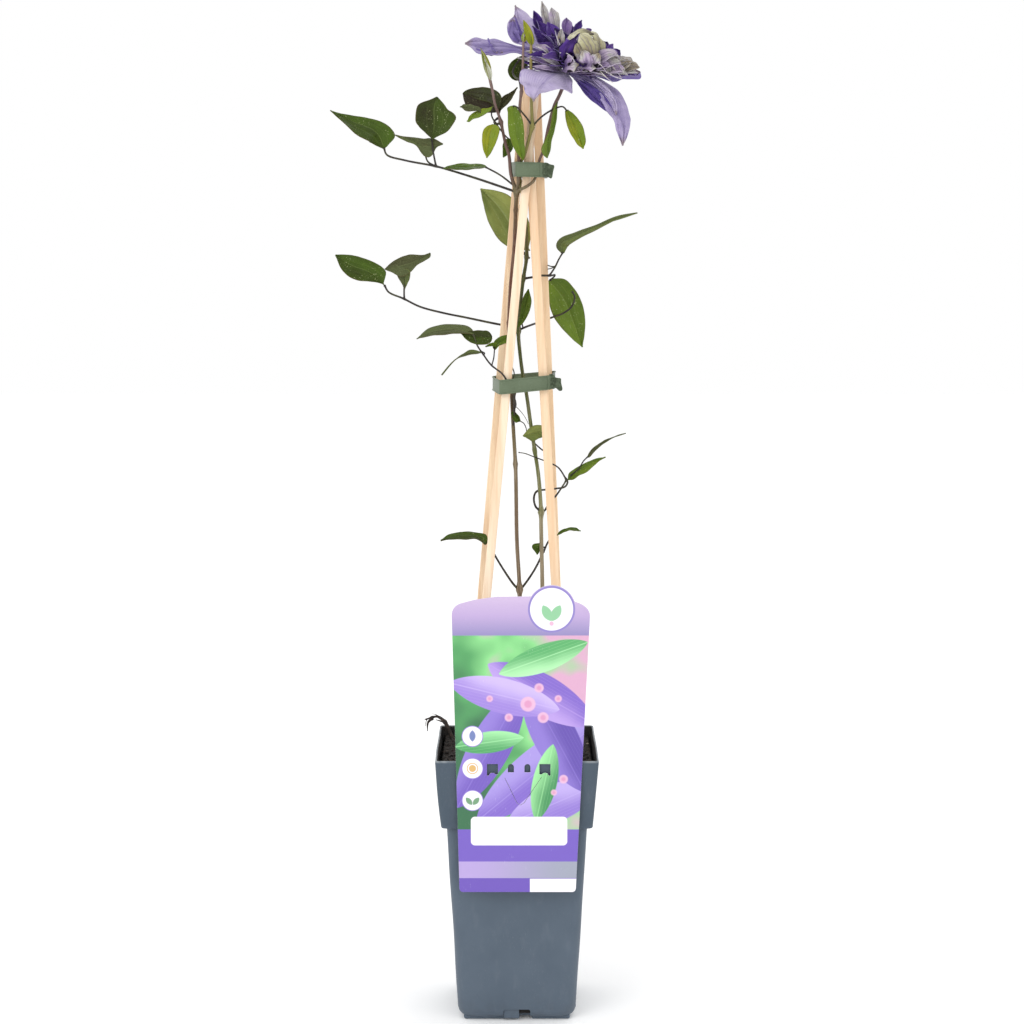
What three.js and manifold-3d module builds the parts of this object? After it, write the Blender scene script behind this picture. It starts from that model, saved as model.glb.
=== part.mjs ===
// A clematis in a square nursery pot, trained up four canes, with one double flower and a plant label.
// Millimetres, +Z up. The origin is on the surface it stands on, under the middle of the pot.
// The label faces -Y.

import * as THREE from "three";
import { mergeVertices } from "three/addons/utils/BufferGeometryUtils.js";
import Module from "manifold-3d";

const wasm = await Module();
wasm.setup();

// Driving dimensions. "half" is half of a width, measured from the middle.
const clearance = 0.3;
const pot = {
  height: 203,
  rimHalf: 60,
  collarFootHalf: 56,
  collarFootZ: 151,
  shoulderHalf: 52,
  footHalf: 44,
  wallFootZ: 3,
  floorTopZ: 5,
  wall: 1.6,
  topCorner: 3,
  shoulderCorner: 5,
  footCorner: 12,
};
const drain = { width: 20, height: 9, reach: 8 };
const pad = { long: 42.3, short: 29.3, corner: 40, bossRadius: 9 };
const soil = { topZ: 196, rough: 2.2, seed: 11 };
const cane = { side: 6.4, chamfer: 0.9, soilZ: 195, topZ: 700, footZ: 130 };
const strap = { thickness: 0.9, height: 10.7, holeRadius: 0.8 };
const label = { thickness: 0.8, backY: -60.5, hookDrop: 6, hookReach: 3.7, slit: 0.6 };
const blade = { thickness: 0.7, petalThickness: 0.8, edge: 0.45, small: 7 };
const flower = {
  heart: [37, -12, 700],
  axis: [0.38, -0.54, 0.75],
  coreRadius: 7,
  coreLift: 6,
  tuftLift: 13,
  tuftShift: [-3, 0, 0],
};

const cornerSteps = 4;
const up = new THREE.Vector3(0, 0, 1);

// Finishes
const finish = (color, roughness = 0.6) => new THREE.MeshStandardMaterial({ color, roughness, metalness: 0 });
const potPlastic = finish(0x5a6672, 0.5);
const peat = finish(0x2e2219, 0.95);
const dryBark = finish(0x3a2a20, 0.9);
const paleWood = finish(0xecc89b, 0.7);
const strapPlastic = finish(0x6b8070, 0.45);
const printedSheet = finish(0x7e62c4, 0.35);
const brownStem = finish(0x6f5a4c, 0.7);
const greenStem = finish(0x7c8450, 0.7);
const leafGreen = finish(0x43651b, 0.45);
const youngLeaf = finish(0x8a9a1e, 0.5);
const lilacSepal = finish(0xa79acf, 0.6);
const violetPetal = finish(0x4a3890, 0.6);
const creamTuft = finish(0xc9cba0, 0.7);

// A repeatable random number from 0 to 1
function seeded(seed) {
  let state = seed;
  return () => {
    state = (state * 16807) % 2147483647;
    return state / 2147483647;
  };
}

const vector = ([x, y, z]) => new THREE.Vector3(x, y, z);

// Closed solid from points and triangles, turned the right way out
function solidOf(points, faces) {
  let volume = 0;
  for (let k = 0; k < faces.length; k += 3) {
    const [a, b, c] = [points[faces[k]], points[faces[k + 1]], points[faces[k + 2]]];
    volume += a.dot(b.clone().cross(c));
  }
  const triVerts = new Uint32Array(volume < 0 ? faces.slice().reverse() : faces);
  const vertProperties = new Float32Array(points.flatMap((point) => point.toArray()));
  return new wasm.Manifold(new wasm.Mesh({ numProp: 3, vertProperties, triVerts }));
}

// Closed solid from one of three.js's own geometries
function solidFrom(source) {
  source.deleteAttribute("normal");
  source.deleteAttribute("uv");
  const merged = mergeVertices(source, 1e-4);
  const place = merged.getAttribute("position");
  const points = [];
  for (let k = 0; k < place.count; k++) {
    points.push(new THREE.Vector3().fromBufferAttribute(place, k));
  }
  return solidOf(points, Array.from(merged.index.array));
}

const fuse = (solids) => solids.reduce((whole, next) => whole.add(next));

// The biggest body of a solid, without the scraps that a cut leaves
function biggest(solid) {
  const bodies = solid.decompose();
  return bodies.reduce((best, next) => (next.volume() > best.volume() ? next : best));
}

const group = new THREE.Group();

function addNode(name, solid, material) {
  const { vertProperties, triVerts } = solid.simplify(0.06).getMesh();
  const shape = new THREE.BufferGeometry();
  shape.setAttribute("position", new THREE.BufferAttribute(new Float32Array(vertProperties), 3));
  shape.setIndex(new THREE.BufferAttribute(new Uint32Array(triVerts), 1));
  shape.computeVertexNormals();
  const mesh = new THREE.Mesh(shape, material);
  mesh.name = name;
  group.add(mesh);
}

// Solid through rings that have the same number of points, shut at both ends
function loft(rings) {
  const count = rings[0].length;
  const points = rings.flat();
  const faces = [];
  for (let row = 0; row < rings.length - 1; row++) {
    for (let k = 0; k < count; k++) {
      const a = row * count + k;
      const b = row * count + ((k + 1) % count);
      faces.push(a, b, b + count, a, b + count, a + count);
    }
  }
  const last = (rings.length - 1) * count;
  for (const [start, turned] of [[0, true], [last, false]]) {
    const middle = points.length;
    const ring = points.slice(start, start + count);
    points.push(ring.reduce((sum, point) => sum.add(point), new THREE.Vector3()).divideScalar(count));
    for (let k = 0; k < count; k++) {
      const a = start + k;
      const b = start + ((k + 1) % count);
      faces.push(middle, turned ? b : a, turned ? a : b);
    }
  }
  return solidOf(points, faces);
}

// Points round a square with rounded corners
function squareRing(half, corner, z) {
  const ring = [];
  for (let quarter = 0; quarter < 4; quarter++) {
    for (let step = 0; step <= cornerSteps; step++) {
      const angle = ((quarter + step / cornerSteps) * Math.PI) / 2;
      const turn = (quarter * Math.PI) / 2;
      const middle = new THREE.Vector2(half - corner, half - corner).rotateAround(new THREE.Vector2(), turn);
      const [x, y] = [middle.x + corner * Math.cos(angle), middle.y + corner * Math.sin(angle)];
      ring.push(new THREE.Vector3(x, y, z));
    }
  }
  return ring;
}

function box(width, depth, height, x, y, z) {
  return solidFrom(new THREE.BoxGeometry(width, depth, height).translate(x, y, z));
}

// A round stem through points, whose radius runs through the given values. "grow" makes it fatter.
function stalk({ points, radius, sides = 4, spacing = 8 }, grow = 0) {
  const path = new THREE.CatmullRomCurve3(points.map(vector), false, "centripetal");
  const steps = Math.max(points.length, Math.ceil(path.getLength() / spacing));
  const frames = path.computeFrenetFrames(steps, false);
  const rings = [];
  for (let step = 0; step <= steps; step++) {
    const along = (step / steps) * (radius.length - 1);
    const band = Math.min(Math.floor(along), radius.length - 2);
    const r = THREE.MathUtils.lerp(radius[band], radius[band + 1], along - band) + grow;
    const middle = path.getPointAt(step / steps);
    if (step === 0) middle.addScaledVector(path.getTangentAt(0), -grow);
    if (step === steps) middle.addScaledVector(path.getTangentAt(1), grow);
    const ring = [];
    for (let k = 0; k < sides; k++) {
      const angle = (k / sides) * 2 * Math.PI;
      const out = frames.normals[step].clone().multiplyScalar(Math.cos(angle) * r);
      out.addScaledVector(frames.binormals[step], Math.sin(angle) * r);
      ring.push(middle.clone().add(out));
    }
    rings.push(ring);
  }
  return loft(rings);
}

function knot(place, radius) {
  return solidFrom(new THREE.IcosahedronGeometry(radius, radius > 4 ? 1 : 0).translate(...place));
}

// One thin leaf, sepal or petal. Its spine runs through base, mid and tip. "face" is the way its upper side
// looks, "fold" how far its halves are folded up in degrees, "cup" how far they curl and "wave" how high
// its waves are.
function leafBlade(leaf, grow = 0) {
  const { base, mid, tip, half, face = [0, -1, 0.25], fold = 12, cup = 0.1, wave = 0.05 } = leaf;
  const { waves = 1.5, widest = 0.36, point = 0.85, thickness = blade.thickness } = leaf;
  const { rows = half < blade.small ? 5 : 6, columns = half < blade.small ? 2 : 4 } = leaf;
  const spine = new THREE.CatmullRomCurve3([base, mid, tip].map(vector), false, "centripetal");
  const looks = vector(face).normalize();
  const skew = Math.log(0.5) / Math.log(widest);
  const lean = THREE.MathUtils.degToRad(fold);

  function place(u, v) {
    const along = spine.getTangent(THREE.MathUtils.clamp(u, 0, 1));
    const side = along.clone().cross(looks).normalize();
    const lift = side.clone().cross(along).normalize();
    const profile = Math.sin(Math.PI * THREE.MathUtils.clamp(u, 0, 1) ** skew);
    const width = Math.max(half * Math.max(profile, 0) ** point, blade.edge) + grow;
    const ripple = wave * Math.sin(2 * Math.PI * waves * u + Math.sign(v)) * v * v;
    const rise = Math.sin(lean) * Math.abs(v) + cup * v * v + ripple;
    const spot = spine.getPoint(THREE.MathUtils.clamp(u, 0, 1));
    return spot.addScaledVector(side, v * width * Math.cos(lean)).addScaledVector(lift, rise * width);
  }

  function outward(u, v) {
    const small = 0.02;
    const low = Math.max(u - small, 0);
    const high = Math.min(u + small, 1);
    const along = place(high, v).sub(place(low, v));
    const across = place(u, Math.min(v + small, 1)).sub(place(u, Math.max(v - small, -1)));
    return across.cross(along).normalize();
  }

  const points = [];
  const faces = [];
  const stride = columns + 1;
  const layer = (rows + 1) * stride;
  for (const side of [0.5, -0.5]) {
    for (let row = 0; row <= rows; row++) {
      for (let column = 0; column <= columns; column++) {
        const u = row / rows;
        const v = (2 * column) / columns - 1;
        points.push(place(u, v).addScaledVector(outward(u, v), side * (thickness + 2 * grow)));
      }
    }
  }
  for (let row = 0; row < rows; row++) {
    for (let column = 0; column < columns; column++) {
      const a = row * stride + column;
      const [b, c, d] = [a + 1, a + stride + 1, a + stride];
      faces.push(a, b, c, a, c, d);
      faces.push(a + layer, c + layer, b + layer, a + layer, d + layer, c + layer);
    }
  }
  const rim = [];
  for (let column = 0; column < columns; column++) rim.push(column);
  for (let row = 0; row < rows; row++) rim.push(row * stride + columns);
  for (let column = columns; column > 0; column--) rim.push(rows * stride + column);
  for (let row = rows; row > 0; row--) rim.push(row * stride);
  rim.forEach((a, k) => {
    const b = rim[(k + 1) % rim.length];
    faces.push(b, a, a + layer, b, a + layer, b + layer);
  });
  return solidOf(points, faces);
}

// A leaf whose base is sunk into the end of its stalk
function leafOf(leaf) {
  const back = vector(leaf.base).sub(vector(leaf.mid)).setLength(1);
  return leafBlade({ ...leaf, base: back.add(vector(leaf.base)).toArray() });
}

// Pot
function makePot() {
  const { height, rimHalf, collarFootHalf, collarFootZ, shoulderHalf, footHalf, wall } = pot;
  const { wallFootZ, floorTopZ, topCorner, shoulderCorner, footCorner } = pot;
  const inner = Math.max(topCorner - wall, 1);
  const shell = loft([
    squareRing(footHalf - 1.2, footCorner - 1, wallFootZ),
    squareRing(footHalf + 0.1, footCorner, wallFootZ + 1.5),
    squareRing(shoulderHalf, shoulderCorner, collarFootZ),
    squareRing(collarFootHalf - 0.5, topCorner, collarFootZ),
    squareRing(collarFootHalf, topCorner, collarFootZ + 1),
    squareRing(rimHalf, topCorner, height - 0.6),
    squareRing(rimHalf - 0.5, topCorner, height),
    squareRing(rimHalf - wall + 0.3, inner, height),
    squareRing(rimHalf - wall, inner, height - 0.6),
    squareRing(collarFootHalf - wall, inner, collarFootZ + wall),
    squareRing(shoulderHalf - wall, shoulderCorner - wall, collarFootZ + wall),
    squareRing(footHalf - wall, footCorner - wall, floorTopZ),
  ]);
  let body = shell;
  for (let side = 0; side < 4; side++) {
    const turn = (side * Math.PI) / 2;
    const slotY = -(footHalf + 2 - drain.reach / 2);
    const slot = new THREE.BoxGeometry(drain.width, drain.reach, drain.height);
    body = body.subtract(solidFrom(slot.translate(0, slotY, drain.height / 2).rotateZ(turn)));
    const foot = new THREE.BoxGeometry(pad.long, pad.short, wallFootZ + 1);
    foot.translate(pad.long / 2 - pad.corner, pad.short / 2 - pad.corner, (wallFootZ + 1) / 2);
    body = body.add(solidFrom(foot.rotateZ(turn)));
  }
  const boss = new THREE.CylinderGeometry(pad.bossRadius, pad.bossRadius, wallFootZ + 1, 16);
  return body.add(solidFrom(boss.rotateX(Math.PI / 2).translate(0, 0, (wallFootZ + 1) / 2)));
}

// Canes. Each is straight, and given by where it stands at the soil and where it ends at the top.
const canes = {
  cane_back_left: { soil: [-36.6, 30], top: [6.4, 4.2] },
  cane_front_left: { soil: [-34.5, -30], top: [14, -12.5] },
  cane_front_right: { soil: [36.6, -30], top: [5.7, -4] },
  cane_back_right: { soil: [35.5, 30], top: [13.8, 4.5] },
};

function canePlace({ soil: low, top }, z) {
  const t = (z - cane.soilZ) / (cane.topZ - cane.soilZ);
  const [x, y] = [0, 1].map((k) => THREE.MathUtils.lerp(low[k], top[k], t));
  return new THREE.Vector3(x, y, z);
}

function makeCane(stick, grow = 0) {
  const half = cane.side / 2 + grow;
  const cut = half - cane.chamfer;
  const corners = [[half, cut], [cut, half], [-cut, half], [-half, cut]];
  const outline = [...corners, ...corners.map(([x, y]) => [-x, -y])];
  const ends = [cane.footZ - grow, cane.topZ + grow];
  return loft(ends.map((z) => outline.map(([x, y]) => canePlace(stick, z).add(new THREE.Vector3(x, y, 0)))));
}

// Stems, with the shoots that grow from them
const brownStalks = [
  {
    points: [[2, 0, 150], [2, 0, 250], [2, 0, 320], [0, 0, 357], [-1, 0, 411], [-3, 0, 447], [-4, 0, 468],
      [-6, 0, 508], [-5, 0, 543], [-2, -1, 576], [-1, -8, 603], [-0.4, -14, 616]],
    radius: [1.9, 1.8, 1.6, 1.5],
    sides: 6,
    spacing: 14,
  },
  {
    points: [[-0.4, -14, 616], [-4.3, -17, 628], [-6, -18, 643], [-8.5, -18, 651], [-12, -18, 667],
      [-16, -18, 679], [-17.5, -18, 687], [-20, -18, 698]],
    radius: [1.5, 1.3, 1.1, 1.2],
    sides: 6,
    spacing: 9,
  },
  {
    points: [[-0.4, -14, 616], [0.7, -18.8, 622], [1.2, -20.5, 632], [1.1, -21, 646], [2, -19.5, 679],
      [3, -20.8, 687], [4, -24.5, 703], [4.5, -26, 723]],
    radius: [1.3, 1.1, 1, 0.9],
    sides: 6,
    spacing: 9,
  },
  {
    points: [[-0.4, -14, 616], [1.6, -20, 617.5], [6, -21.3, 619.5], [12, -21, 624], [15, -18.5, 632],
      [16.3, -18.5, 639], [19, -18, 646], [23, -16, 664], [27, -15, 678], [30, -14, 684], [33, -12.5, 691],
      [36, -11, 698]],
    radius: [1.3, 1.2, 1.2, 1.4],
    sides: 6,
    spacing: 7,
  },
];
const brownKnots = [[[2, 0, 321], 2.8], [[-0.4, -14, 616], 2.3], [[-1.4, 0, 415], 1.9]];

const greenStalks = [
  {
    points: [[21, -3, 150], [21, -4, 195], [19, -5, 326], [18, -5, 371], [18, -5, 380], [16, -5, 407],
      [13, -5, 427], [10, -5, 447], [7, -5, 468], [4, -5, 484], [2, -4, 500], [1, -3, 515], [4.4, -4, 551],
      [7, -3.5, 569], [6, -3, 599], [3.5, -6, 616], [2, -12, 627], [2.3, -17.6, 636.5], [5, -21, 641.5],
      [7.5, -20.8, 650], [11, -20, 663]],
    radius: [1.7, 1.6, 1.4, 1.3, 1.2],
    sides: 6,
    spacing: 12,
  },
  {
    points: [[11, -20, 663], [10.3, -20.6, 682], [10, -24.5, 703], [10, -26, 723]],
    radius: [1.2, 1],
    sides: 6,
    spacing: 9,
  },
];
const greenKnots = [[[18, -5, 380], 2.4], [[1, -3, 515], 2.1], [[11, -20, 663], 2.2]];

function makeStem(stalks, knots, grow = 0) {
  const tubes = stalks.map((one) => stalk(one, grow));
  const swellings = knots.map(([place, radius]) => knot(place, radius + grow));
  return fuse([...tubes, ...swellings]);
}

// Sprays: a leaf, or the leaflets of one leaf, with its stalk. Every first stalk starts inside its stem.
const sprays = {
  spray_top_left: {
    stalks: [
      {
        points: [[-0.4, -14, 616], [-27, -14, 625], [-53, -12, 633], [-61, -12, 635], [-82, -10, 639],
          [-95, -9, 643], [-97, -9, 648]],
        radius: [0.9, 0.8, 0.7],
        spacing: 9,
      },
      { points: [[-60, -12, 634.8], [-65, -10.5, 638], [-67, -10, 643]], radius: [0.7, 0.6] },
      { points: [[-59, -12, 634.5], [-61, -12.5, 645], [-62, -12, 654]], radius: [0.7, 0.6] },
    ],
    leaves: [
      { base: [-97, -9, 648], mid: [-107, -12, 660], tip: [-136, -20, 674.5], half: 9.5, widest: 0.3,
        face: [0.25, -0.8, 0.5] },
      { base: [-67, -10, 643], mid: [-69, -9, 650], tip: [-88, -16, 657], half: 14, face: [0.3, -0.8, 0.45],
        fold: 36, widest: 0.36 },
      { base: [-62, -12, 654], mid: [-60.5, -14, 669], tip: [-59, -16, 684.5], half: 16, widest: 0.55,
        point: 0.9 },
    ],
  },
  spray_top_left_side: {
    stalks: [{ points: [[-1, -15, 619.5], [-12, -16, 628], [-23, -16, 634]], radius: [0.7, 0.6] }],
    leaves: [
      { base: [-23, -16, 634], mid: [-38, -18, 633.5], tip: [-54, -20, 631.5], half: 6, face: [0, -0.2, 1] },
    ],
  },
  spray_under_bud: {
    stalks: [
      { points: [[-11.7, -18, 665], [-15.5, -19, 665], [-16.5, -15.5, 667], [-14, -14, 669]],
        radius: [0.8, 0.7] },
      { points: [[-15.5, -19, 665], [-18.5, -21, 671], [-17.5, -20.8, 677]], radius: [0.6, 0.5] },
      { points: [[-15.5, -18, 665.5], [-16.5, -20.5, 664], [-15, -21, 662]], radius: [0.6, 0.5] },
      { points: [[-16, -17, 666], [-13, -13.6, 662], [-9, -13, 657], [-6, -14, 654]], radius: [0.6, 0.5] },
    ],
    leaves: [
      { base: [-14, -14, 669], mid: [-24, -8, 681], tip: [-39.5, 0, 685], half: 12.5, widest: 0.5,
        point: 0.65, face: [0, -0.95, 0.3] },
      { base: [-14, -14, 669], mid: [-7.5, -9, 677], tip: [1, -8, 690], half: 5.5, face: [0.1, -1, 0.2] },
      { base: [-17.5, -20.8, 677], mid: [-26, -22, 672.5], tip: [-36, -23, 667], half: 3.4,
        face: [0, -0.7, 0.7] },
      { base: [-26, -22, 672.5], mid: [-33, -23, 677], tip: [-41, -22, 675], half: 3.2,
        face: [0, -0.8, 0.6] },
      { base: [-15, -21, 662], mid: [-19, -22.5, 652], tip: [-22, -22, 641], half: 6.5, widest: 0.3 },
      { base: [-6, -14, 654], mid: [-7, -13, 647.5], tip: [-10, -12.5, 641], half: 4, face: [0, -1, 0] },
    ],
  },
  spray_front: {
    stalks: [
      { points: [[11, -20, 663], [6, -23.4, 670], [-1, -24.5, 677], [-3, -24.5, 677]], radius: [0.7, 0.6] },
    ],
    leaves: [
      { base: [-3, -24.5, 677], mid: [-3.5, -26, 657], tip: [5, -27, 639], half: 6.6, widest: 0.5,
        point: 0.6 },
    ],
  },
  spray_top_right: {
    stalks: [
      { points: [[11, -20, 663], [18, -22, 670], [26, -21.5, 675], [33, -20, 677], [36, -19, 674]],
        radius: [0.7, 0.6] },
      { points: [[26, -21.5, 675], [28, -21, 678], [29, -20.5, 680]], radius: [0.6, 0.5] },
    ],
    leaves: [
      { base: [29, -20.5, 680], mid: [25.5, -23, 660], tip: [20, -25, 640], half: 5, face: [0.7, -0.7, 0],
        fold: 25, widest: 0.6, point: 0.6 },
      { base: [36, -19, 674], mid: [44, -20, 663], tip: [47, -20, 647], half: 4.8, face: [-0.3, -1, 0.1] },
    ],
  },
  spray_behind_flower: {
    stalks: [
      { points: [[3, -20.6, 687], [1.5, -14, 696], [-1.5, -4, 699], [-3, 6, 704], [1.5, 12, 712],
        [7, 14, 716]],
        radius: [0.8, 0.7] },
    ],
    leaves: [
      { base: [7, 14, 716], mid: [2, 15.5, 707], tip: [-4, 17, 696], half: 8, widest: 0.6, point: 0.6 },
    ],
  },
  spray_behind_canes: {
    stalks: [{ points: [[7, -3.5, 569], [9, 6, 568], [7, 15, 569], [4, 19, 573]], radius: [0.9, 0.8] }],
    leaves: [
      { base: [4, 19, 573], mid: [-10, 22, 597], tip: [-27, 20, 620.5], half: 15.5, widest: 0.45,
        face: [0.1, -1, 0] },
    ],
  },
  spray_middle_left: {
    stalks: [
      {
        points: [[1, -3, 515], [-0.5, 8, 516], [-4, 17.5, 517], [-12, 19.5, 518], [-40, 14, 524],
          [-54, 10, 527], [-72, 6, 532], [-84, 4, 538], [-95, 2, 543], [-98, 2, 548]],
        radius: [0.9, 0.8, 0.7],
        spacing: 9,
      },
      { points: [[-83.5, 4, 537.6], [-83.5, 3.5, 545], [-83, 4, 551]], radius: [0.7, 0.6] },
    ],
    leaves: [
      { base: [-98, 2, 548], mid: [-112, -3, 560], tip: [-134.5, -8, 570.5], half: 11,
        face: [0.2, -0.9, 0.4] },
      { base: [-83, 4, 551], mid: [-80, 4, 560.5], tip: [-64, 8, 570.5], half: 13, widest: 0.4,
        face: [-0.5, -0.8, 0.3], fold: 34 },
    ],
  },
  spray_middle_right: {
    stalks: [
      { points: [[5, -4, 553], [12, -0.5, 554], [18, 2.5, 555], [25, 4.5, 555], [30, 12, 556],
        [29.5, 20, 554]],
        radius: [0.9, 0.8] },
      { points: [[24, 4, 555], [28, 5, 561], [31, 7, 567], [34, 8, 572]], radius: [0.7, 0.6] },
    ],
    leaves: [
      { base: [34, 8, 572], mid: [45.5, 10, 586], tip: [87, 14, 601], half: 6, widest: 0.3, point: 1.2,
        face: [-0.3, -0.5, 0.8] },
      { base: [29.5, 20, 554], mid: [42, 26, 531], tip: [50.5, 27, 500], half: 13.5, widest: 0.42,
        face: [0.15, -1, 0.1] },
    ],
  },
  spray_middle: {
    stalks: [
      {
        points: [[1, -3, 515], [6, 1, 517], [11, 9, 518.5], [15, 17, 519.5], [25, 19.4, 523], [35, 16, 527],
          [41, 15, 532], [43, 15, 539], [41, 15, 543]],
        radius: [0.8, 0.8, 0.6],
        spacing: 5,
      },
      { points: [[4.5, -0.5, 516.5], [4, -4, 518.5], [3.5, -5.5, 521]], radius: [0.6, 0.5] },
    ],
    leaves: [
      { base: [3.5, -5.5, 521], mid: [5.5, -6.5, 532], tip: [9.5, -7, 545], half: 4.6, face: [0.1, -1, 0] },
    ],
  },
  spray_at_clip: {
    stalks: [
      {
        points: [[-3, 0, 444], [-2, -8, 452], [-1.8, -14, 459], [-2, -21, 465], [-2.8, -24.7, 471],
          [-6.5, -25, 477.5], [-10.5, -26, 484], [-19, -27, 491], [-25, -26, 499], [-29, -25, 505],
          [-32, -24, 513]],
        radius: [0.7, 0.6],
        spacing: 5,
      },
      { points: [[-18.5, -27, 490.6], [-17, -24, 496], [-16.3, -16, 502], [-16, -12, 506]],
        radius: [0.5, 0.5] },
      { points: [[-24.5, -26, 498.3], [-23.5, -26, 499.5], [-26, -26.5, 500.5]], radius: [0.5, 0.5] },
    ],
    leaves: [
      { base: [-32, -24, 513], mid: [-50, -26, 517], tip: [-73, -26, 509], half: 4.6, widest: 0.45,
        face: [0, -0.6, 0.8] },
      { base: [-32, -24, 513], mid: [-26, -22, 510.5], tip: [-17.5, -21, 508], half: 5.2, widest: 0.5,
        face: [0, -0.9, 0.3] },
      { base: [-16, -12, 506], mid: [-12, -9, 508], tip: [-7, -6.5, 510.5], half: 3, widest: 0.5 },
      { base: [-26, -26.5, 500.5], mid: [-40, -28, 501], tip: [-56, -30, 484], half: 3.2, point: 1.1,
        face: [0, -0.6, 0.8] },
      { base: [-2, -7.5, 451.5], mid: [0, -9, 449.5], tip: [3.5, -9, 447.5], half: 2.4, face: [0, -1, 0] },
    ],
  },
  spray_low_middle: {
    stalks: [
      { points: [[13.3, -5, 426], [18, -2, 425], [24, 2, 428], [25.5, 2, 434], [23, -1.5, 440]],
        radius: [0.7, 0.6] },
    ],
    leaves: [
      { base: [23, -1.5, 440], mid: [14, -8.5, 439.5], tip: [5, -11, 437], half: 5.4, face: [0, -1, 0.2] },
    ],
  },
  spray_low_right: {
    stalks: [
      { points: [[18, -5, 380], [20.5, -3, 380.5], [23, 0, 384], [30, 4, 392], [36, 5, 401], [37, 5, 403]],
        radius: [0.8, 0.6] },
      {
        points: [[37, 5, 403], [31, 5, 412], [27, 4, 416], [21, 0, 417.5], [16, -7.8, 418.5], [12, -9.4, 420],
          [7, -9.6, 423], [1, -10, 425]],
        radius: [0.6, 0.4],
      },
      {
        points: [[17.5, -5, 380.5], [14, -6.6, 384], [12.6, -7, 389], [13.2, -6.5, 393.5], [16, -1.2, 395.5],
          [21, 0, 396], [30, 4, 396.5], [36, 6, 397.5], [38, 6, 401], [37, 5, 403]],
        radius: [0.7, 0.6],
        spacing: 4,
      },
      { points: [[40, 5.2, 406], [46, 6, 411], [50, 7, 417], [53, 7, 420]], radius: [0.5, 0.5] },
    ],
    leaves: [
      { base: [37, 5, 403], mid: [48, 6, 412.5], tip: [67, 8, 420], half: 4, face: [-0.3, -0.6, 0.7] },
      { base: [53, 7, 420], mid: [64, 8, 431], tip: [82, 10, 437], half: 2.6, face: [-0.3, -0.6, 0.7] },
    ],
  },
  spray_bottom_left: {
    stalks: [
      { points: [[2, 0, 320], [-2, -1, 324], [-10, -3, 336], [-17, -4, 348], [-20, -4, 354],
        [-22, -3, 357.5]],
        radius: [0.9, 0.7] },
    ],
    leaves: [
      { base: [-22, -3, 357.5], mid: [-38, -2, 362.5], tip: [-58, 0, 356.5], half: 4.2, widest: 0.4,
        face: [0, -0.55, 0.8] },
    ],
  },
  spray_bottom_right: {
    stalks: [
      { points: [[2, 0, 320], [4, 0.3, 322], [13, 1.2, 335], [20, 1.6, 349], [24, 3, 357], [29, 5.5, 360]],
        radius: [0.9, 0.7] },
      { points: [[20, 1.6, 348.5], [21, 2, 351], [20, 2.6, 352.5]], radius: [0.6, 0.5] },
    ],
    leaves: [
      { base: [20, 2.6, 352.5], mid: [16, 3.6, 351.5], tip: [12, 4, 349.5], half: 4.2, face: [0, -1, 0.1] },
      { base: [29, 5.5, 360], mid: [38, 7, 364.5], tip: [48, 8, 363], half: 2.6, face: [0, -0.5, 0.85] },
    ],
  },
};

const makeSpray = ({ stalks, leaves }) => fuse([...stalks.map((one) => stalk(one)), ...leaves.map(leafOf)]);

// Folded young leaves at the ends of the three shoots
const shootTips = {
  shoot_tip_left: {
    points: [[-20.2, -18, 698.5], [-22, -18, 707], [-25, -18, 719]], radius: [1.2, 2.8, 2.4, 0.5], sides: 6,
    spacing: 4,
  },
  shoot_tip_middle: {
    points: [[4.5, -26, 723.5], [5, -26.5, 731], [4, -27, 740]], radius: [0.9, 2.1, 1.5, 0.5], sides: 6,
      spacing: 4,
  },
  shoot_tip_right: {
    points: [[10, -26, 723.5], [9.5, -26.5, 728], [8, -27, 734]], radius: [0.9, 2.1, 1.6, 0.5], sides: 6,
      spacing: 3,
  },
};

// Flower. "polar" is the angle from its axis, "turn" the angle round it from the left.
const heart = vector(flower.heart);
const axis = vector(flower.axis).normalize();
const leftward = new THREE.Vector3(-1, 0, 0).addScaledVector(axis, axis.x).normalize();
const frontward = axis.clone().cross(leftward);
const onAxis = (lift) => heart.clone().addScaledVector(axis, lift);

function flowerDirection(polar, turn) {
  const [p, t] = [polar, turn].map(THREE.MathUtils.degToRad);
  const out = leftward.clone().multiplyScalar(Math.cos(t)).addScaledVector(frontward, Math.sin(t));
  return axis.clone().multiplyScalar(Math.cos(p)).addScaledVector(out, Math.sin(p));
}

const sepals = [
  { mid: [2, -9.5, 714], tip: [-38, -7, 722], half: 12, fold: 6, wave: 0.12 },
  { mid: [6, 6, 727], tip: [-1, 21, 752], half: 15, fold: 10 },
  { mid: [23, -38, 701], tip: [9, -61, 680], half: 16.5, cup: -0.25, fold: -6, widest: 0.55, point: 0.7 },
  { mid: [69, -30, 688], tip: [75, -50, 649], half: 15, cup: -0.1, fold: -16 },
  { mid: [64, 9, 704], tip: [90.5, 31, 701], half: 14, fold: 8, widest: 0.7, point: 0.6 },
  { mid: [42, 17, 720], tip: [48, 42, 733], half: 14, fold: 8 },
];

function makeSepals(grow = 0) {
  const shape = { base: flower.heart, face: flower.axis, rows: 8, widest: 0.5, point: 0.8, wave: 0.08,
    thickness: 1 };
  const parts = sepals.map((sepal) => leafBlade({ ...shape, ...sepal }, grow));
  return fuse([...parts, knot(onAxis(-1).toArray(), 6 + grow)]);
}

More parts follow.
